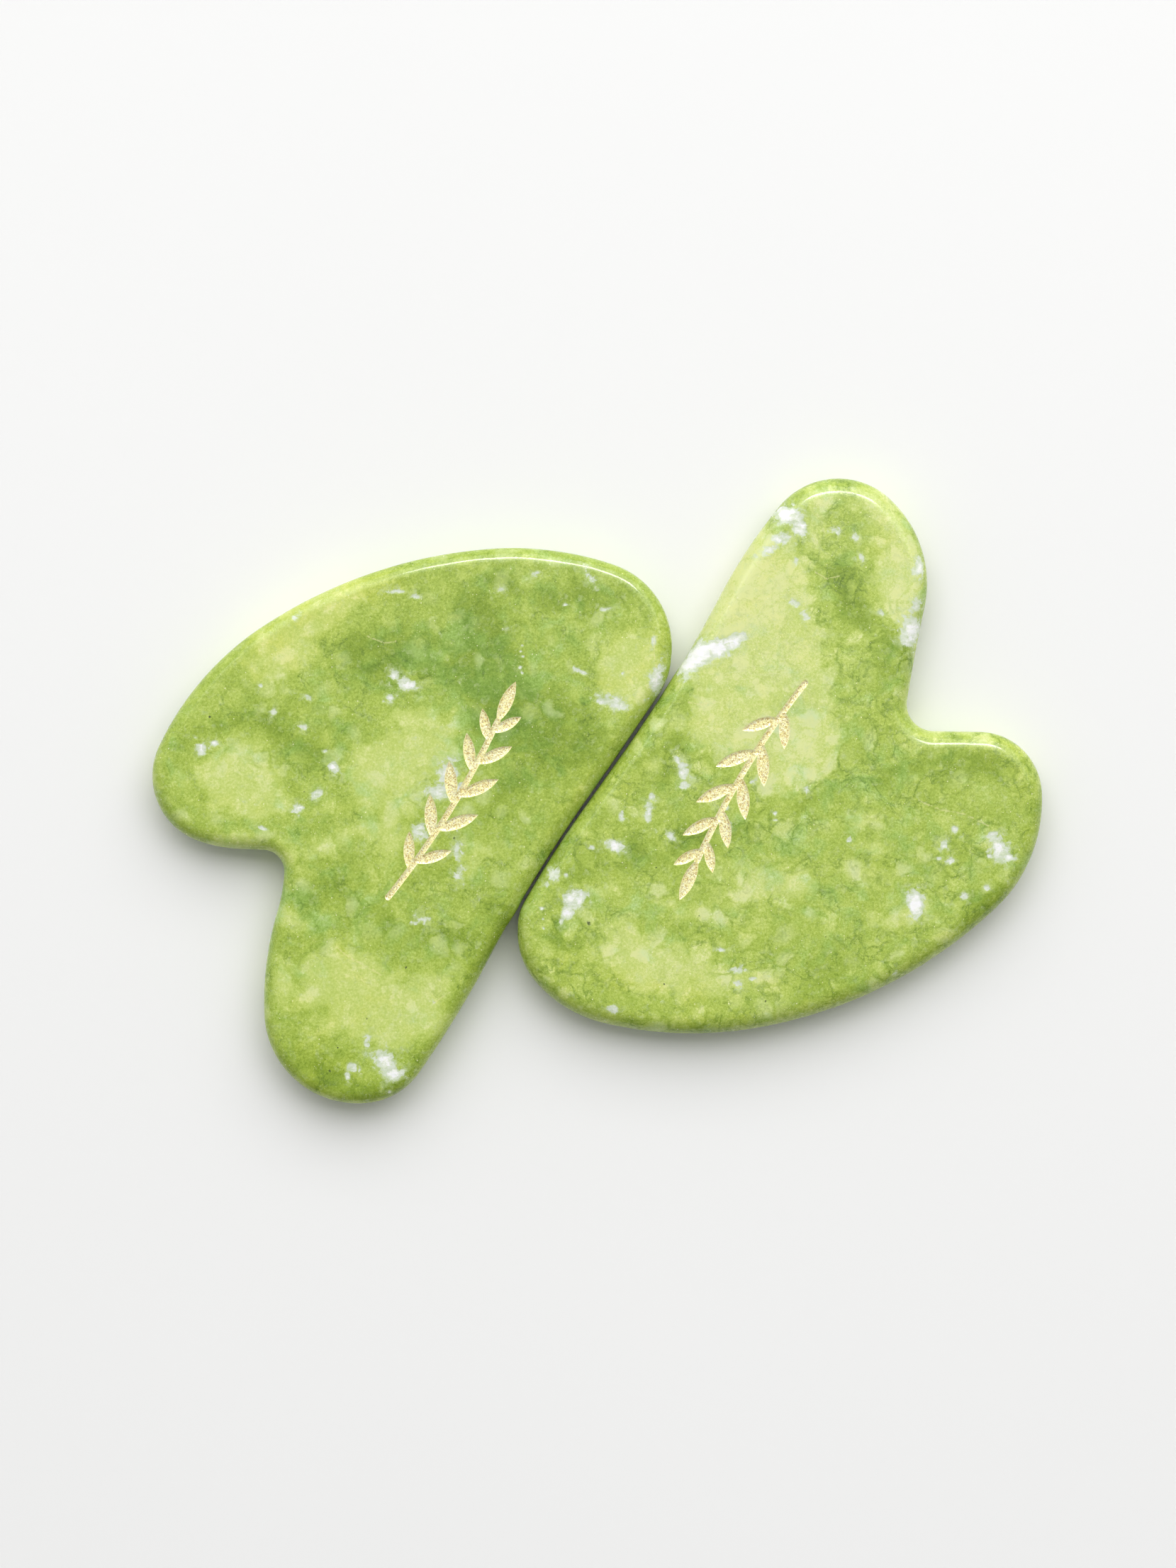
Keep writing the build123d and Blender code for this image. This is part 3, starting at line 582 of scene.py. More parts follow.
def build_stone(key):
    spec = OUTLINES[key]
    seed = spec["seed"]
    rng = np.random.RandomState(seed)
    step = 0.28
    base, normal, arc, total = walk_outline(spec, step)
    n = len(base)
    # hand grinding: the plan edge and the two roundings wander a little
    shift = wave(arc, total, seed, [(3, .5), (7, .3), (12, .25), (23, .12)], 0.045)
    r_top = EDGE + spec["round"] + wave(arc, total, seed + 1, [(2, .5), (5, .4), (9, .3), (17, .2), (29, .15), (41, .10)], 0.17)
    r_low = EDGE + wave(arc, total, seed + 2, [(2, .5), (4, .4), (11, .3)], 0.14)
    # where the two stones lie side by side the slit between them is narrow and even
    other = walk_outline(OUTLINES["right" if key == "left" else "left"], 0.3)[0]
    apart = near_distance(base, other)
    close = np.clip((apart - 0.40) / 2, 0, 0.11) * np.clip((1.5 - apart) / 0.6, 0, 1)
    base = base + normal * (np.clip(0.6 * shift - 0.014, -0.05, 0.0) * (apart > 1.5) + close)[:, None]

    def top_wave(p):
        flat = np.c_[p, np.zeros(len(p))]
        return 0.028 * (perlin(flat, 0.055, seed) + 0.5 * perlin(flat, 0.13, seed + 3)) - 0.025

    rings = []
    quarter = 10
    for k in range(quarter + 1):
        a = math.pi / 2 * k / quarter
        xy = base - normal * (r_top * (1 - math.sin(a)))[:, None]
        rings.append((xy, THICK - r_top * (1 - math.cos(a))))
    for k in range(1, 4):
        t = k / 4
        rings.append((base, (THICK - r_top) * (1 - t) + r_low * t))
    for k in range(quarter + 1):
        a = math.pi / 2 * (1 - k / quarter)
        xy = base - normal * (r_low * (1 - math.sin(a)))[:, None]
        rings.append((xy, r_low * (1 - math.cos(a))))
    verts = []
    for xy, z in rings:
        z = np.broadcast_to(z, (n,)).astype(float)
        lift = top_wave(xy) * np.clip(z / THICK, 0, 1) ** 2
        verts.append(np.c_[xy, z + lift])
    verts = np.vstack(verts)
    faces = []
    for k in range(len(rings) - 1):
        a0, b0 = k * n, (k + 1) * n
        for i in range(n):
            j = (i + 1) % n
            faces.append((a0 + i, b0 + i, b0 + j, a0 + j))

    # upper face, with the engraving cut into it
    inner = rings[0][0]
    polys = [placed(p, spec["mark"]) for p in sprig(0.2)]
    outline_pts = np.vstack(polys)
    pts = lattice(inner.min(0), inner.max(0), 0.40, rng)
    extra = []
    for x, y, a, b, ang, s in FLECKS[key]:
        m = 1.9 * max(a, b) + 0.25
        g = lattice((x - m, y - m), (x + m, y + m), min(0.2, max(0.1, b * 0.35)), rng)
        extra.append(g[np.hypot(g[:, 0] - x, g[:, 1] - y) < m])
    for line in CRACKS[key]:
        for a, b in zip(line[:-1], line[1:]):
            t = rng.uniform(0, 1, 60)[:, None]
            extra.append(np.array(a) + t * (np.array(b) - a) + rng.normal(0, 0.16, (60, 2)))
    for x, y, r in GRAINS[key]:
        extra.append(np.array([x, y]) + rng.normal(0, r, (24, 2)))
    extra = np.vstack(extra)
    keep = []
    cells = set()
    for p in extra:                     # thin out where patches overlap
        c = (round(p[0] / 0.13), round(p[1] / 0.13))
        if c not in cells:
            cells.add(c)
            keep.append(p)
    extra = np.array(keep)
    pts = np.vstack([pts[~near(pts, extra, 0.2)], extra])
    ok = inside(inner, pts)
    pts = pts[ok]
    pts = pts[~near(pts, inner, 0.17)]
    pts = pts[~near(pts, outline_pts, 0.12)]
    in_mark = np.zeros(len(pts), bool)
    for p in polys:
        in_mark |= inside(p, pts)
    pts = pts[~in_mark]
    co, tris, engraved, origins = cdt(inner, pts, polys)
    # vertices of the plain face, then a second set on the engraving's floor
    first = len(verts)
    index = -np.ones(len(co), int)
    for i, src in enumerate(origins):
        ring = [s for s in src if s < n]
        if ring:
            index[i] = ring[0]
    used = np.zeros(len(co), bool)
    used[tris[~engraved].ravel()] = True
    new = [i for i in range(len(co)) if used[i] and index[i] < 0]
    for k, i in enumerate(new):
        index[i] = first + k
    upper = np.c_[co[new], np.full(len(new), THICK)]
    upper[:, 2] += top_wave(upper[:, :2])
    low_used = sorted(set(tris[engraved].ravel()))
    floor_index = {i: first + len(new) + k for k, i in enumerate(low_used)}
    lower = np.c_[co[low_used], np.full(len(low_used), THICK - MARK_DEPTH)]
    lower[:, 2] += top_wave(lower[:, :2])
    faces += [tuple(int(index[i]) for i in t) for t in tris[~engraved]]
    faces += [tuple(floor_index[i] for i in t) for t in tris[engraved]]
    edge_use = {}
    for t, e in zip(tris, engraved):
        for a, b in ((t[0], t[1]), (t[1], t[2]), (t[2], t[0])):
            edge_use.setdefault((min(a, b), max(a, b)), []).append((a, b, e))
    sharp = set()
    for uses in edge_use.values():
        if len(uses) == 2 and uses[0][2] != uses[1][2]:
            a, b, _ = uses[0] if not uses[0][2] else uses[1]
            faces.append((int(index[b]), int(index[a]), floor_index[a], floor_index[b]))
            sharp.add((min(index[a], index[b]), max(index[a], index[b])))
            sharp.add((min(floor_index[a], floor_index[b]), max(floor_index[a], floor_index[b])))
    verts = np.vstack([verts, upper, lower])

    # underside
    last = (len(rings) - 1) * n
    outer = rings[-1][0]
    pts = lattice(outer.min(0), outer.max(0), 0.46, rng)
    pts = pts[inside(outer, pts)]
    pts = pts[~near(pts, outer, 0.19)]
    co, tris, _, origins = cdt(outer, pts, [])
    first = len(verts)
    index = -np.ones(len(co), int)
    for i, src in enumerate(origins):
        ring = [s for s in src if s < n]
        if ring:
            index[i] = last + ring[0]
    new = [i for i in range(len(co)) if index[i] < 0]
    for k, i in enumerate(new):
        index[i] = first + k
    verts = np.vstack([verts, np.c_[co[new], np.zeros(len(new))]])
    faces += [tuple(int(index[i]) for i in t[::-1]) for t in tris]

    # the softer white mineral takes less polish, so it stands slightly low
    zone, fl, warm, mark = stone_fields(verts, key, seed)
    top_side = verts[:, 2] > THICK - 0.1
    dip = np.clip((fl - 0.42) / 0.3, 0, 1)
    rough = perlin(verts, 1.6, seed + 40)
    verts[top_side, 2] -= (dip * (0.022 + 0.02 * rough))[top_side]

    ob = mesh_object(f"jade_slab_{key}", verts * MM, faces)
    me = ob.data
    me.polygons.foreach_set("use_smooth", np.ones(len(me.polygons), bool))
    if sharp:
        attr = me.attributes.new("sharp_edge", "BOOLEAN", "EDGE")
        ev = np.zeros(len(me.edges) * 2, np.int32)
        me.edges.foreach_get("vertices", ev)
        ev = ev.reshape(-1, 2)
        flags = np.array([(min(a, b), max(a, b)) in sharp for a, b in ev.tolist()], bool)
        attr.data.foreach_set("value", flags)
    col = me.attributes.new("stone_fields", "FLOAT_COLOR", "POINT")
    col.data.foreach_set("color", np.c_[zone, fl, warm, mark].astype(np.float32).ravel())
    # how far round the edge each point is, used as the weight of the painted shade on the rounded edge
    ring_depth = near_distance(verts, base)
    soft = np.clip((2.2 - ring_depth) / 1.9, 0, 1)
    soft = soft * soft * (3 - 2 * soft) * (0.62 + 0.38 * perlin(verts, 0.35, seed + 60))
    # painted shade: the rim attribute darkens the rounded edge in the material
    rim = me.attributes.new("rim", "FLOAT", "POINT")
    rim.data.foreach_set("value", np.clip(soft * 0.42, 0, 1).astype(np.float32))
    me.update()
    return ob


def build_fill(key):
    """The gold paint: one closed piece that fills the engraving, dished in mid-stroke and grainy."""
    spec = OUTLINES[key]
    seed = spec["seed"]
    rng = np.random.RandomState(seed + 7)
    polys = [placed(p, spec["mark"]) for p in sprig(0.13)]
    everything = np.vstack(polys)
    lo, hi = everything.min(0) - 1, everything.max(0) + 1
    frame_box = np.array([(lo[0], lo[1]), (hi[0], lo[1]), (hi[0], hi[1]), (lo[0], hi[1])])
    pts = lattice(lo, hi, 0.115, rng, jitter=0.3)
    hit = np.zeros(len(pts), bool)
    for p in polys:
        hit |= inside(p, pts)
    pts = pts[hit]
    pts = pts[~near(pts, everything, 0.05)]
    co, tris, flags, _ = cdt(frame_box, pts, polys)
    tris = tris[flags]
    used = sorted(set(tris.ravel()))
    remap = {i: k for k, i in enumerate(used)}
    co = co[used]
    tris = np.array([[remap[i] for i in t] for t in tris])
    edges = {}
    for t in tris:
        for a, b in ((t[0], t[1]), (t[1], t[2]), (t[2], t[0])):
            edges.setdefault((min(a, b), max(a, b)), []).append((a, b))
    rim = [e[0] for e in edges.values() if len(e) == 1]
    rim_pts = sorted(set(i for e in rim for i in e))
    tree = KDTree(len(rim_pts))
    for k, i in enumerate(rim_pts):
        tree.insert((co[i, 0], co[i, 1], 0), k)
    tree.balance()
    d = np.array([tree.find((x, y, 0))[2] for x, y in co])
    t = np.clip(d / 0.34, 0, 1)
    dish = FILL_TOP + FILL_DISH * (t * t * (3 - 2 * t))
    flat = np.c_[co, np.zeros(len(co))]
    wave_z = 0.028 * (perlin(flat, 0.055, seed) + 0.5 * perlin(flat, 0.13, seed + 3)) - 0.025
    grain = 0.020 * perlin(flat, 3.6, seed + 20) + 0.016 * perlin(flat, 7.5, seed + 21)
    top = np.c_[co, THICK - dish + wave_z + grain * (0.35 + 0.65 * t)]
    under = np.c_[co, THICK - MARK_DEPTH + 0.01 + wave_z]
    m = len(co)
    faces = [tuple(int(i) for i in t) for t in tris]
    faces += [tuple(int(i) + m for i in t[::-1]) for t in tris]
    faces += [(int(b), int(a), int(a) + m, int(b) + m) for a, b in rim]
    ob = mesh_object(f"gold_sprig_{key}", np.vstack([top, under]) * MM, faces)
    me = ob.data
    me.polygons.foreach_set("use_smooth", np.ones(len(me.polygons), bool))
    attr = me.attributes.new("sharp_edge", "BOOLEAN", "EDGE")
    rim_set = set()
    for a, b in rim:
        rim_set.add((min(a, b), max(a, b)))
        rim_set.add((min(a, b) + m, max(a, b) + m))
    ev = np.zeros(len(me.edges) * 2, np.int32)
    me.edges.foreach_get("vertices", ev)
    flags = np.array([(min(a, b), max(a, b)) in rim_set for a, b in ev.reshape(-1, 2).tolist()], bool)
    attr.data.foreach_set("value", flags)
    wear = me.attributes.new("stroke", "FLOAT", "POINT")
    wear.data.foreach_set("value", np.r_[t, t].astype(np.float32))
    me.update()
    return ob


# ------------------------------------------------------------------ materials
def lin(r, g, b):
    """8-bit display colour to linear."""
    out = []
    for c in (r, g, b):
        c /= 255
        out.append(c / 12.92 if c <= 0.04045 else ((c + 0.055) / 1.055) ** 2.4)
    return (*out, 1.0)


# What a level polished face sends back under this studio: its own colour times
# LEVEL_LIGHT, plus the pale sheen of the lights in the polish.
LEVEL_LIGHT = 0.96
SHEEN = 0.016


def seen(r, g, b):
    """The base colour that looks like this 8-bit colour on a level face."""
    return (*[max(0.002, min(0.98, (c - SHEEN) / LEVEL_LIGHT)) for c in lin(r, g, b)[:3]], 1.0)


class Graph:
    def __init__(self, name):
        self.mat = bpy.data.materials.new(name)
        self.mat.use_nodes = True
        self.tree = self.mat.node_tree
        self.tree.nodes.clear()

    def add(self, kind, **props):
        node = self.tree.nodes.new(kind)
        for k, v in props.items():
            setattr(node, k, v)
        return node

    def put(self, socket, value):
        if isinstance(value, bpy.types.NodeSocket):
            self.tree.links.new(value, socket)
        elif value is not None:
            socket.default_value = value

    def math(self, op, a, b=None, c=None, clamp=False):
        node = self.add("ShaderNodeMath", operation=op, use_clamp=clamp)
        for s, v in zip(node.inputs, (a, b, c)):
            self.put(s, v)
        return node.outputs[0]

    def vec(self, op, a, b=None, scale=None):
        node = self.add("ShaderNodeVectorMath", operation=op)
        self.put(node.inputs[0], a)
        if b is not None:
            self.put(node.inputs[1], b)
        if scale is not None:
            self.put(node.inputs["Scale"], scale)
        return node.outputs[0]

    def mix(self, fac, a, b, blend="MIX"):
        node = self.add("ShaderNodeMix", data_type="RGBA", blend_type=blend, clamp_factor=True)
        self.put(node.inputs[0], fac)
        self.put(node.inputs[6], a)
        self.put(node.inputs[7], b)
        return node.outputs[2]

    def noise(self, vector, scale, detail=2.0, rough=0.5, dist=0.0, colour=False):
        node = self.add("ShaderNodeTexNoise", noise_dimensions="3D", normalize=True)
        self.put(node.inputs["Vector"], vector)
        node.inputs["Scale"].default_value = scale
        node.inputs["Detail"].default_value = detail
        node.inputs["Roughness"].default_value = rough
        node.inputs["Distortion"].default_value = dist
        return node.outputs["Color" if colour else "Fac"]

    def voronoi(self, vector, scale, feature="F1", out="Distance", rand=1.0, smooth=None):
        node = self.add("ShaderNodeTexVoronoi", voronoi_dimensions="3D", feature=feature)
        self.put(node.inputs["Vector"], vector)
        node.inputs["Scale"].default_value = scale
        node.inputs["Randomness"].default_value = rand
        if smooth is not None and "Smoothness" in node.inputs:
            node.inputs["Smoothness"].default_value = smooth
        return node.outputs[out]

    def cells(self, vector, scale, smooth=None):
        """Distance to the nearest cell centre, and that cell's three random numbers."""
        node = self.add("ShaderNodeTexVoronoi", voronoi_dimensions="3D", feature="SMOOTH_F1" if smooth else "F1")
        if smooth:
            node.inputs["Smoothness"].default_value = smooth
        self.put(node.inputs["Vector"], vector)
        node.inputs["Scale"].default_value = scale
        split = self.add("ShaderNodeSeparateColor")
        self.put(split.inputs[0], node.outputs["Color"])
        return node.outputs["Distance"], list(split.outputs)

    def step(self, value, low, high):
        """Smooth step from 0 at low to 1 at high."""
        node = self.add("ShaderNodeMapRange", interpolation_type="SMOOTHSTEP", clamp=True)
        self.put(node.inputs["Value"], value)
        node.inputs["From Min"].default_value = low
        node.inputs["From Max"].default_value = high
        return node.outputs["Result"]

    def finish(self, **sockets):
        shader = self.add("ShaderNodeBsdfPrincipled")
        for k, v in sockets.items():
            self.put(shader.inputs[k.replace("_", " ")], v)
        out = self.add("ShaderNodeOutputMaterial")
        self.tree.links.new(shader.outputs[0], out.inputs[0])
        return shader


def jade(name, offset, lift, seams):
    g = Graph(name)
    obj = g.add("ShaderNodeTexCoord").outputs["Object"]
    p = g.vec("MULTIPLY", obj, (1000.0, 1000.0, 1000.0))
    p = g.vec("ADD", p, offset)
    fields = g.add("ShaderNodeAttribute", attribute_name="stone_fields", attribute_type="GEOMETRY")
    split = g.add("ShaderNodeSeparateColor")
    g.put(split.inputs[0], fields.outputs["Color"])
    zone, fleck, warm = split.outputs[0], split.outputs[1], split.outputs[2]
    crack = fields.outputs["Alpha"]
    # rim carries the painted shade of the rounded edge
    rim = g.add("ShaderNodeAttribute", attribute_name="rim", attribute_type="GEOMETRY").outputs["Fac"]

    # the stone's grain is bent by slow folds
    fold = g.vec("SUBTRACT", g.noise(p, 0.22, 2.0, 0.5, colour=True), (0.5, 0.5, 0.5))
    warped = g.vec("ADD", p, g.vec("SCALE", fold, scale=3.4))
    ripple = g.vec("SUBTRACT", g.noise(p, 0.95, 3.0, 0.6, colour=True), (0.5, 0.5, 0.5))
    warped2 = g.vec("ADD", warped, g.vec("SCALE", ripple, scale=1.25))

    # three sizes of grain
    slow = g.math("SUBTRACT", g.noise(warped, 0.15, 2.0, 0.5), 0.5)
    mid = g.math("SUBTRACT", g.noise(warped2, 0.55, 4.0, 0.66), 0.5)
    fine = g.math("SUBTRACT", g.noise(p, 2.9, 5.0, 0.92), 0.5)

    # the large pale bodies and the dark zones have soft but definite edges
    bounded = g.math("MULTIPLY_ADD", mid, 0.42, zone)
    bounded = g.math("MULTIPLY_ADD", g.math("SUBTRACT", g.noise(warped, 0.34, 1.0, 0.5), 0.5), 0.75, bounded)
    pale = g.step(bounded, 0.15, 0.58)
    dark = g.step(bounded, -0.10, -0.62)

    # rounded nodules of two sizes, some paler than the stone round them, parted by seams
    lumps = g.vec("ADD", warped, g.vec("SCALE", ripple, scale=0.95))
    big_d, big_c = g.cells(lumps, 0.33)
    big_edge = g.voronoi(lumps, 0.33, "DISTANCE_TO_EDGE")
    big = g.math("MULTIPLY", g.math("MULTIPLY", g.step(big_d, 0.66, 0.20), g.step(big_edge, 0.0, 0.14)),
                 g.step(big_c[0], 0.15, 0.95))
    lumps2 = g.vec("ADD", lumps, (17.0, 3.0, 8.0))
    small_d, small_c = g.cells(lumps2, 0.74)
    small_edge = g.voronoi(lumps2, 0.74, "DISTANCE_TO_EDGE")
    small = g.math("MULTIPLY", g.math("MULTIPLY", g.step(small_d, 0.64, 0.20), g.step(small_edge, 0.0, 0.16)),
                   g.step(small_c[0], 0.30, 1.0))

    calm = g.math("MULTIPLY_ADD", dark, -0.30, g.math("MULTIPLY_ADD", pale, -0.34, 1.0))
    body = g.math("MULTIPLY_ADD", pale, 0.220, 0.480 + lift)
    body = g.math("MULTIPLY_ADD", dark, -0.150, body)
    body = g.math("MULTIPLY_ADD", zone, 0.085, body)
    body = g.math("MULTIPLY_ADD", slow, 0.22, body)
    tone = g.math("MINIMUM", body, 0.96)
    tone = g.math("MULTIPLY_ADD", big, 0.17 + 0.6 * seams, tone)
    tone = g.math("MULTIPLY_ADD", small, 0.13 + 0.4 * seams, tone)
    tone = g.math("MULTIPLY_ADD", g.math("MULTIPLY", mid, calm), 0.33, tone)
    tone = g.math("MULTIPLY_ADD", g.math("MULTIPLY", fine, calm), 1.62, tone)

    ramp = g.add("ShaderNodeValToRGB")
    ramp.color_ramp.interpolation = "B_SPLINE"
    stops = [
        (0.00, seen(92, 124, 42)), (0.17, seen(122, 149, 52)), (0.35, seen(148, 173, 68)),
        (0.52, seen(170, 193, 85)), (0.70, seen(191, 210, 106)), (0.86, seen(207, 221, 132)),
        (1.00, seen(228, 233, 168)),
    ]
    el = ramp.color_ramp.elements
    el[0].position, el[0].color = stops[0]
    el[1].position, el[1].color = stops[-1]
    for pos, colr in stops[1:-1]:
        e = el.new(pos)
        e.color = colr
    g.put(ramp.inputs[0], tone)
    colour = ramp.outputs["Color"]

    # yellower or cooler patches
    drift = g.math("SUBTRACT", g.noise(warped, 0.3, 3.0, 0.55), 0.5)
    hue = g.math("MULTIPLY_ADD", drift, 1.5, g.math("MULTIPLY_ADD", warm, 0.55, -0.06))
    colour = g.mix(g.step(hue, 0.0, 0.85), colour, g.mix(1.0, colour, (1.06, 1.01, 0.80, 1), "MULTIPLY"))
    colour = g.mix(g.step(hue, -0.02, -0.45), colour, g.mix(1.0, colour, (0.86, 0.985, 1.30, 1), "MULTIPLY"))
    milky = g.math("MULTIPLY", g.math("MULTIPLY", big, g.step(big_c[1], 0.40, 0.8)), g.step(hue, 0.35, -0.1))
    colour = g.mix(g.math("MULTIPLY", milky, 0.42), colour, seen(206, 219, 160))

    # thin curved veins, the seams between nodules and finer hairlines, where the stone is broken up
    dark_green = g.mix(1.0, colour, (0.54, 0.63, 0.40, 1), "MULTIPLY")
    broken = g.noise(warped, 0.22, 3.0, 0.6)
    ridge = g.math("ABSOLUTE", g.math("SUBTRACT", g.noise(warped2, 0.26, 4.0, 0.62), 0.5))
    vein = g.math("MULTIPLY", g.step(ridge, 0.028, 0.002), g.step(broken, 0.52 - 0.7 * seams, 0.62 - 0.7 * seams))
    seam = g.math("MULTIPLY", g.step(big_edge, 0.075, 0.005), g.step(broken, 0.56 - seams, 0.68 - seams))
    hair_edge = g.voronoi(g.vec("ADD", g.vec("ADD", warped, g.vec("SCALE", ripple, scale=0.55)), (31.0, 7.0, 3.0)), 0.52, "DISTANCE_TO_EDGE")
    hair = g.math("MULTIPLY", g.step(hair_edge, 0.065, 0.005), g.step(g.noise(warped, 0.5, 3.0, 0.6), 0.57 - 0.5 * seams, 0.67 - 0.5 * seams))
    thin = g.math("MULTIPLY_ADD", g.noise(p, 0.8, 3.0, 0.6), 2.4, -0.50, clamp=True)
    lines = g.math("MAXIMUM", g.math("MULTIPLY", vein, 1.0), g.math("MAXIMUM", g.math("MULTIPLY", seam, 0.9), g.math("MULTIPLY", hair, 0.60)))
    lines = g.math("MULTIPLY", g.math("MULTIPLY", lines, thin), g.math("MULTIPLY_ADD", pale, -0.72, 1.0))
    colour = g.mix(lines, colour, dark_green)

    # painted shade: the rounded edge is darkened to a deeper olive, standing in for the shade on the rounding
    colour = g.mix(rim, colour, g.mix(1.0, colour, (0.58, 0.64, 0.40, 1), "MULTIPLY"))

    # bright specks, sparse and tiny, and paler dust that gathers in drifts
    speck_d, speck_c = g.cells(p, 1.7)
    speck = g.math("MULTIPLY", g.step(g.math("MULTIPLY_ADD", speck_c[1], -0.13, speck_d), 0.06, -0.02),
                   g.step(speck_c[0], 0.70, 0.74))
    colour = g.mix(g.math("MULTIPLY", speck, 0.80), colour, seen(246, 248, 206))
    dust_d, dust_c = g.cells(g.vec("ADD", p, (5.0, 9.0, 2.0)), 3.3)
    drifts = g.step(g.noise(warped, 0.4, 2.0, 0.5), 0.50, 0.66)
    dust = g.math("MULTIPLY", g.math("MULTIPLY", g.step(dust_d, 0.30, 0.10), g.step(dust_c[0], 0.55, 0.62)),
                  g.math("MULTIPLY_ADD", drifts, 0.62, 0.36))
    colour = g.mix(g.math("MULTIPLY", dust, 0.62), colour, seen(232, 238, 172))

    # white mineral: the listed places, ragged edges from noise
    rag = g.math("SUBTRACT", g.noise(g.vec("ADD", p, g.vec("SCALE", ripple, scale=0.7)), 1.15, 5.0, 0.70), 0.5)
    chip = g.cells(g.vec("ADD", p, g.vec("SCALE", ripple, scale=0.6)), 1.35)[1][0]
    white = g.math("MULTIPLY_ADD", rag, 1.60, fleck)
    white = g.math("MULTIPLY_ADD", g.math("SUBTRACT", chip, 0.55), 0.42, white)
    halo = g.step(white, 0.06, 0.50)
    core = g.step(white, 0.40, 0.68)
    heart = g.step(white, 0.72, 1.35)
    colour = g.mix(g.math("MULTIPLY", halo, 0.46), colour, seen(202, 217, 158))
    grainy = g.step(g.noise(g.vec("MULTIPLY", p, (1.0, 1.7, 1.0)), 0.95, 5.0, 0.66), 0.34, 0.60)
    chalk = g.mix(g.math("MULTIPLY_ADD", heart, 0.72, g.math("MULTIPLY", grainy, 0.36), clamp=True), seen(200, 213, 184), seen(252, 254, 249))
    solid = g.math("MAXIMUM", g.math("MULTIPLY_ADD", grainy, 0.22, 0.74), g.step(white, 0.95, 1.35))
    colour = g.mix(g.math("MULTIPLY", core, solid), colour, chalk)

    # healed cracks pale, black grains dark
    crack = g.math("MULTIPLY_ADD", g.math("SUBTRACT", g.noise(p, 3.2, 4.0, 0.7), 0.5), 1.3, crack)
    colour = g.mix(g.math("MULTIPLY", g.step(crack, 0.42, 0.85), 0.5), colour, seen(230, 228, 166))
    colour = g.mix(g.math("MULTIPLY", g.step(crack, -0.36, -0.70), 0.9), colour, seen(78, 90, 60))

    # polish: glassy on the green, duller on the white mineral
    scuff = g.noise(g.vec("MULTIPLY", p, (0.5, 3.2, 1.0)), 1.2, 4.0, 0.7)
    rough = g.math("MULTIPLY_ADD", scuff, 0.14, 0.24)
    rough = g.math("MULTIPLY_ADD", core, 0.26, rough)
    # the rounded edges are polished by every stroke on the wheel, the flats a little less
    facing = g.add("ShaderNodeSeparateXYZ")
    g.put(facing.inputs[0], g.add("ShaderNodeNewGeometry").outputs["Normal"])
    turned = g.math("SUBTRACT", 0.996, g.math("ABSOLUTE", facing.outputs["Z"]), clamp=True)
    turned = g.math("MULTIPLY", turned, 42.0, clamp=True)
    rough = g.math("MULTIPLY_ADD", turned, -0.17, rough)
    rough = g.math("MULTIPLY_ADD", lines, 0.10, rough, clamp=True)

    height = g.math("MULTIPLY_ADD", core, -0.35, g.math("MULTIPLY", g.noise(p, 0.9, 3.0, 0.5), 0.55))
    height = g.math("MULTIPLY_ADD", g.noise(p, 5.0, 3.0, 0.6), 0.16, height)
    height = g.math("MULTIPLY_ADD", speck, 0.25, height)
    height = g.math("MULTIPLY_ADD", lines, -0.12, height)
    bump = g.add("ShaderNodeBump")
    bump.inputs["Strength"].default_value = 0.30
    bump.inputs["Distance"].default_value = 0.00006
    g.put(bump.inputs["Height"], height)
    shader = g.finish(Base_Color=colour, Roughness=rough, Normal=bump.outputs[0], Specular_IOR_Level=0.4)
    shader.inputs["IOR"].default_value = 1.56
    shader.inputs["Subsurface Weight"].default_value = 0.25
    shader.inputs["Subsurface Radius"].default_value = (1.0, 1.0, 0.35)
    shader.inputs["Subsurface Scale"].default_value = 0.0009
    return g.mat


def gold(name):
    g = Graph(name)
    obj = g.add("ShaderNodeTexCoord").outputs["Object"]
    p = g.vec("MULTIPLY", obj, (1000.0, 1000.0, 1000.0))
    stroke = g.add("ShaderNodeAttribute", attribute_name="stroke", attribute_type="GEOMETRY").outputs["Fac"]
    dist, flake = g.cells(g.vec("MULTIPLY", p, (1.0, 1.0, 0.5)), 7.5)
    wide = g.noise(p, 0.9, 3.0, 0.6)
    middle = g.step(stroke, 0.05, 0.55)
    base = g.mix(g.step(flake[0], 0.1, 0.9), lin(244, 236, 162), lin(255, 253, 208))
    brown = g.math("MULTIPLY", g.step(flake[1], 0.60, 0.82), g.math("MULTIPLY_ADD", middle, 0.60, 0.22))
    base = g.mix(brown, base, lin(184, 150, 78))
    silver = g.math("MULTIPLY", g.step(flake[2], 0.78, 0.92), g.math("MULTIPLY_ADD", middle, 0.5, 0.1))
    base = g.mix(silver, base, lin(222, 218, 196))
    base = g.mix(g.step(wide, 0.42, 0.66), base, g.mix(1.0, base, (1.0, 0.97, 0.84, 1), "MULTIPLY"))
    rough = g.math("MULTIPLY_ADD", flake[1], 0.28, 0.30)
    metal = g.math("MULTIPLY_ADD", g.step(flake[0], 0.3, 0.9), 0.22, 0.12)
    height = g.math("MULTIPLY_ADD", dist, -0.6, g.noise(p, 9.0, 3.0, 0.6))
    bump = g.add("ShaderNodeBump")
    bump.inputs["Strength"].default_value = 0.45
    bump.inputs["Distance"].default_value = 0.00005
    g.put(bump.inputs["Height"], height)
    g.finish(Base_Color=base, Roughness=rough, Metallic=metal, Normal=bump.outputs[0])
    return g.mat


def matte_floor(name):
    g = Graph(name)
    obj = g.add("ShaderNodeTexCoord").outputs["Object"]
    tone = g.noise(obj, 6.0, 3.0, 0.5)
    colour = g.mix(tone, lin(244, 244, 243), lin(247, 247, 246))
    g.finish(Base_Color=colour, Roughness=0.85)
    return g.mat


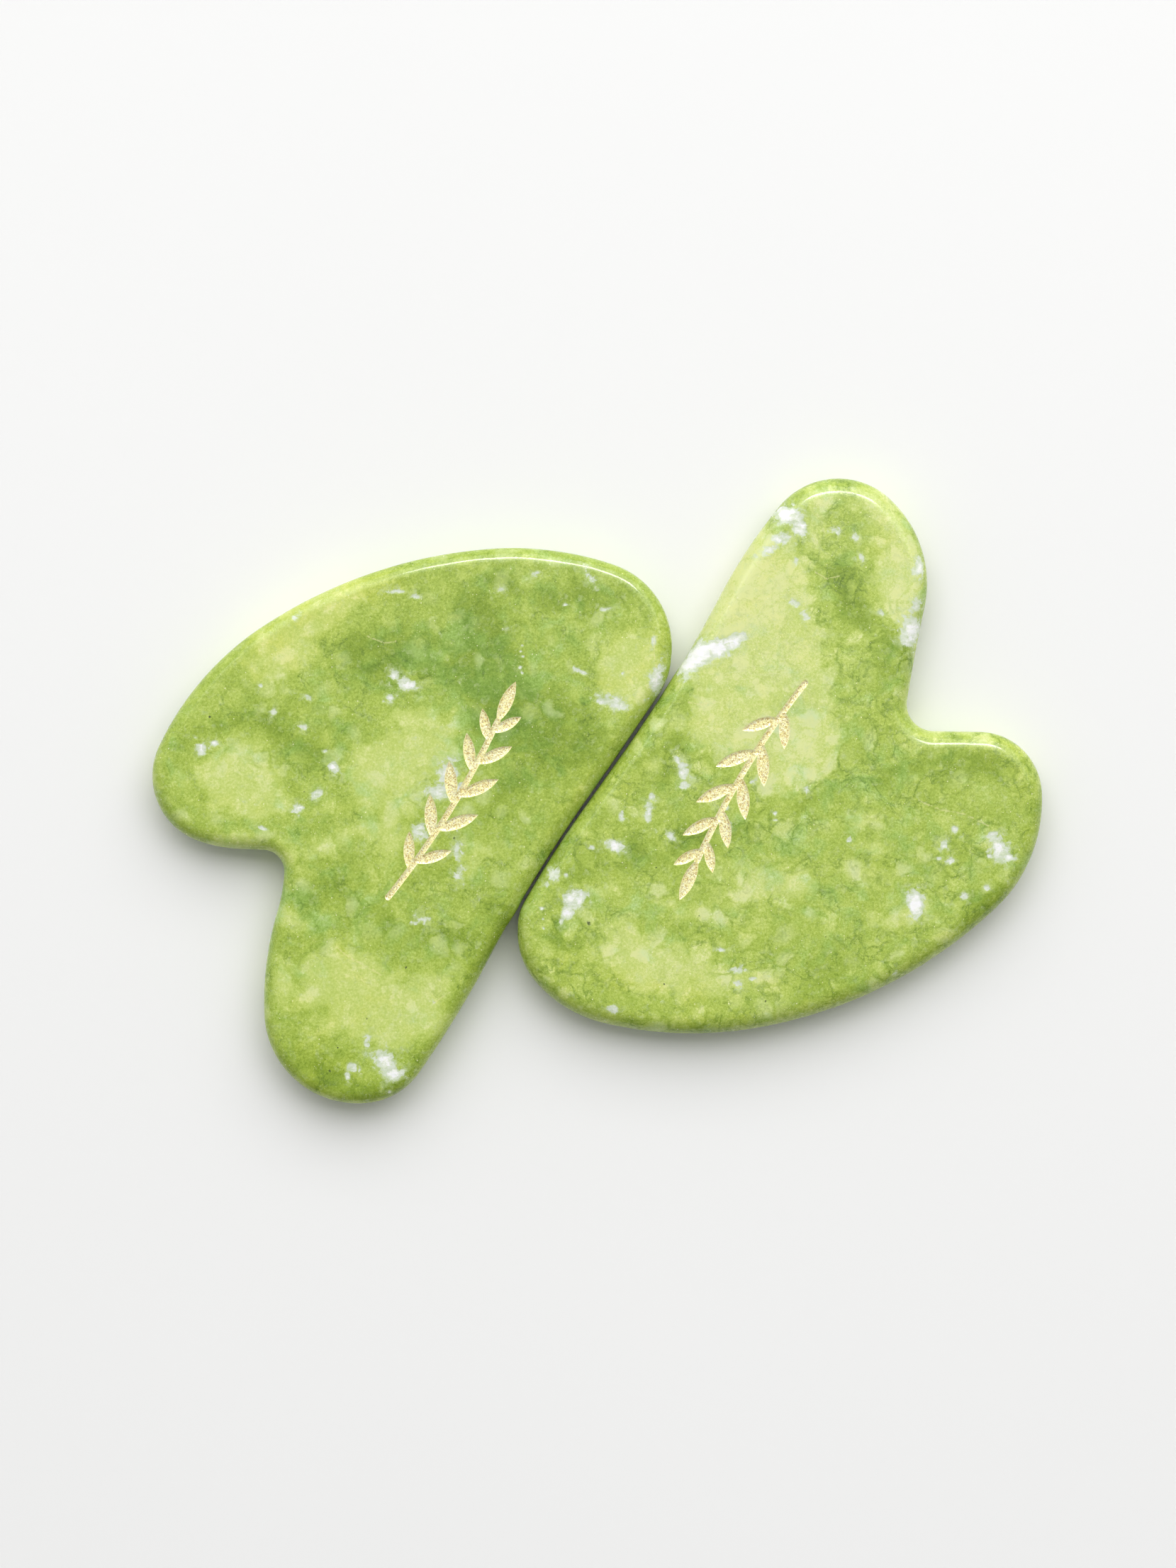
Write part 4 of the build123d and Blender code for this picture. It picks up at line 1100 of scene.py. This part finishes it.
# --------------------------------------------------------------------- pieces
mats = {
    "left": jade("polished_jade_left", (0.0, 0.0, 0.0), 0.028, 0.0),
    "right": jade("polished_jade_right", (143.0, 71.0, 19.0), 0.075, 0.10),
}
gold_mat = gold("gold_paint")
for key in ("left", "right"):
    slab = build_stone(key)
    slab.data.materials.append(mats[key])
    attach(slab, f"{key}_scraper")
    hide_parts(f"{key}_stone")
    fill = build_fill(key)
    fill.data.materials.append(gold_mat)
    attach(fill, f"{key}_scraper")
    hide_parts(f"{key}_gold_fill")

# ---------------------------------------------------------------------- stage
floor_mesh = bpy.data.meshes.new("floor")
half = 4.0
floor_mesh.from_pydata([(-half, -half, 0), (half, -half, 0), (half, half, 0), (-half, half, 0)], [], [(0, 1, 2, 3)])
floor = bpy.data.objects.new("floor", floor_mesh)
floor.location.z = -0.00005
floor_mesh.materials.append(matte_floor("pale_floor"))
scene.collection.objects.link(floor)

world = bpy.data.worlds.new("studio")
scene.world = world
world.use_nodes = True
nodes, links = world.node_tree.nodes, world.node_tree.links
bg = nodes["Background"]
bg.inputs["Color"].default_value = (1.0, 1.0, 1.0, 1.0)
# a soft white dome, dimmer straight overhead and towards the near side
where = nodes.new("ShaderNodeTexCoord")
up = nodes.new("ShaderNodeSeparateXYZ")
dome = nodes.new("ShaderNodeMapRange")
dome.interpolation_type = "SMOOTHSTEP"
dome.inputs["From Min"].default_value = math.cos(math.radians(36))
dome.inputs["From Max"].default_value = math.cos(math.radians(13))
dome.inputs["To Min"].default_value = 0.57
dome.inputs["To Max"].default_value = 0.18
links.new(where.outputs["Generated"], up.inputs[0])
links.new(up.outputs["Z"], dome.inputs["Value"])
side = nodes.new("ShaderNodeMapRange")
side.interpolation_type = "SMOOTHSTEP"
side.inputs["From Min"].default_value = -0.9
side.inputs["From Max"].default_value = 0.9
side.inputs["To Min"].default_value = 0.42
side.inputs["To Max"].default_value = 1.55
both = nodes.new("ShaderNodeMath")
both.operation = "MULTIPLY"
links.new(up.outputs["Y"], side.inputs["Value"])
links.new(dome.outputs["Result"], both.inputs[0])
links.new(side.outputs["Result"], both.inputs[1])
links.new(both.outputs[0], bg.inputs["Strength"])


def area(name, azimuth, elevation, distance, size, power, colour=(1, 1, 1)):
    light = bpy.data.lights.new(name, "AREA")
    light.shape = "RECTANGLE"
    light.size, light.size_y = size
    light.energy = power
    light.color = colour
    ob = bpy.data.objects.new(name, light)
    a, e = math.radians(azimuth), math.radians(elevation)
    ob.location = (distance * math.cos(e) * math.cos(a), distance * math.cos(e) * math.sin(a), distance * math.sin(e))
    ob.rotation_euler = (-Vector(ob.location)).to_track_quat("-Z", "Y").to_euler()
    scene.collection.objects.link(ob)
    return ob


# a large soft key from the far side, and a long strip that only draws the bright line on polished edges
area("key_softbox", 82, 50, 1.2, (1.8, 1.3), 14.3)
strip = area("edge_strip", 80, 56, 0.75, (0.46, 0.12), 3.5)
strip.visible_diffuse = False

# --------------------------------------------------------------------- camera
cam = bpy.data.cameras.new("camera")
cam.sensor_fit = "VERTICAL"
cam.sensor_height = 36.0
cam.lens = 85.0
cam.clip_start = 0.01
cam.clip_end = 20.0
camera = bpy.data.objects.new("camera", cam)
camera.location = (-0.001275, 0.00095, 0.00325 + 0.5125)
camera.rotation_euler = (0.0, 0.0, 0.0)
scene.collection.objects.link(camera)
scene.camera = camera

scene.view_settings.view_transform = "Standard"
scene.view_settings.look = "None"
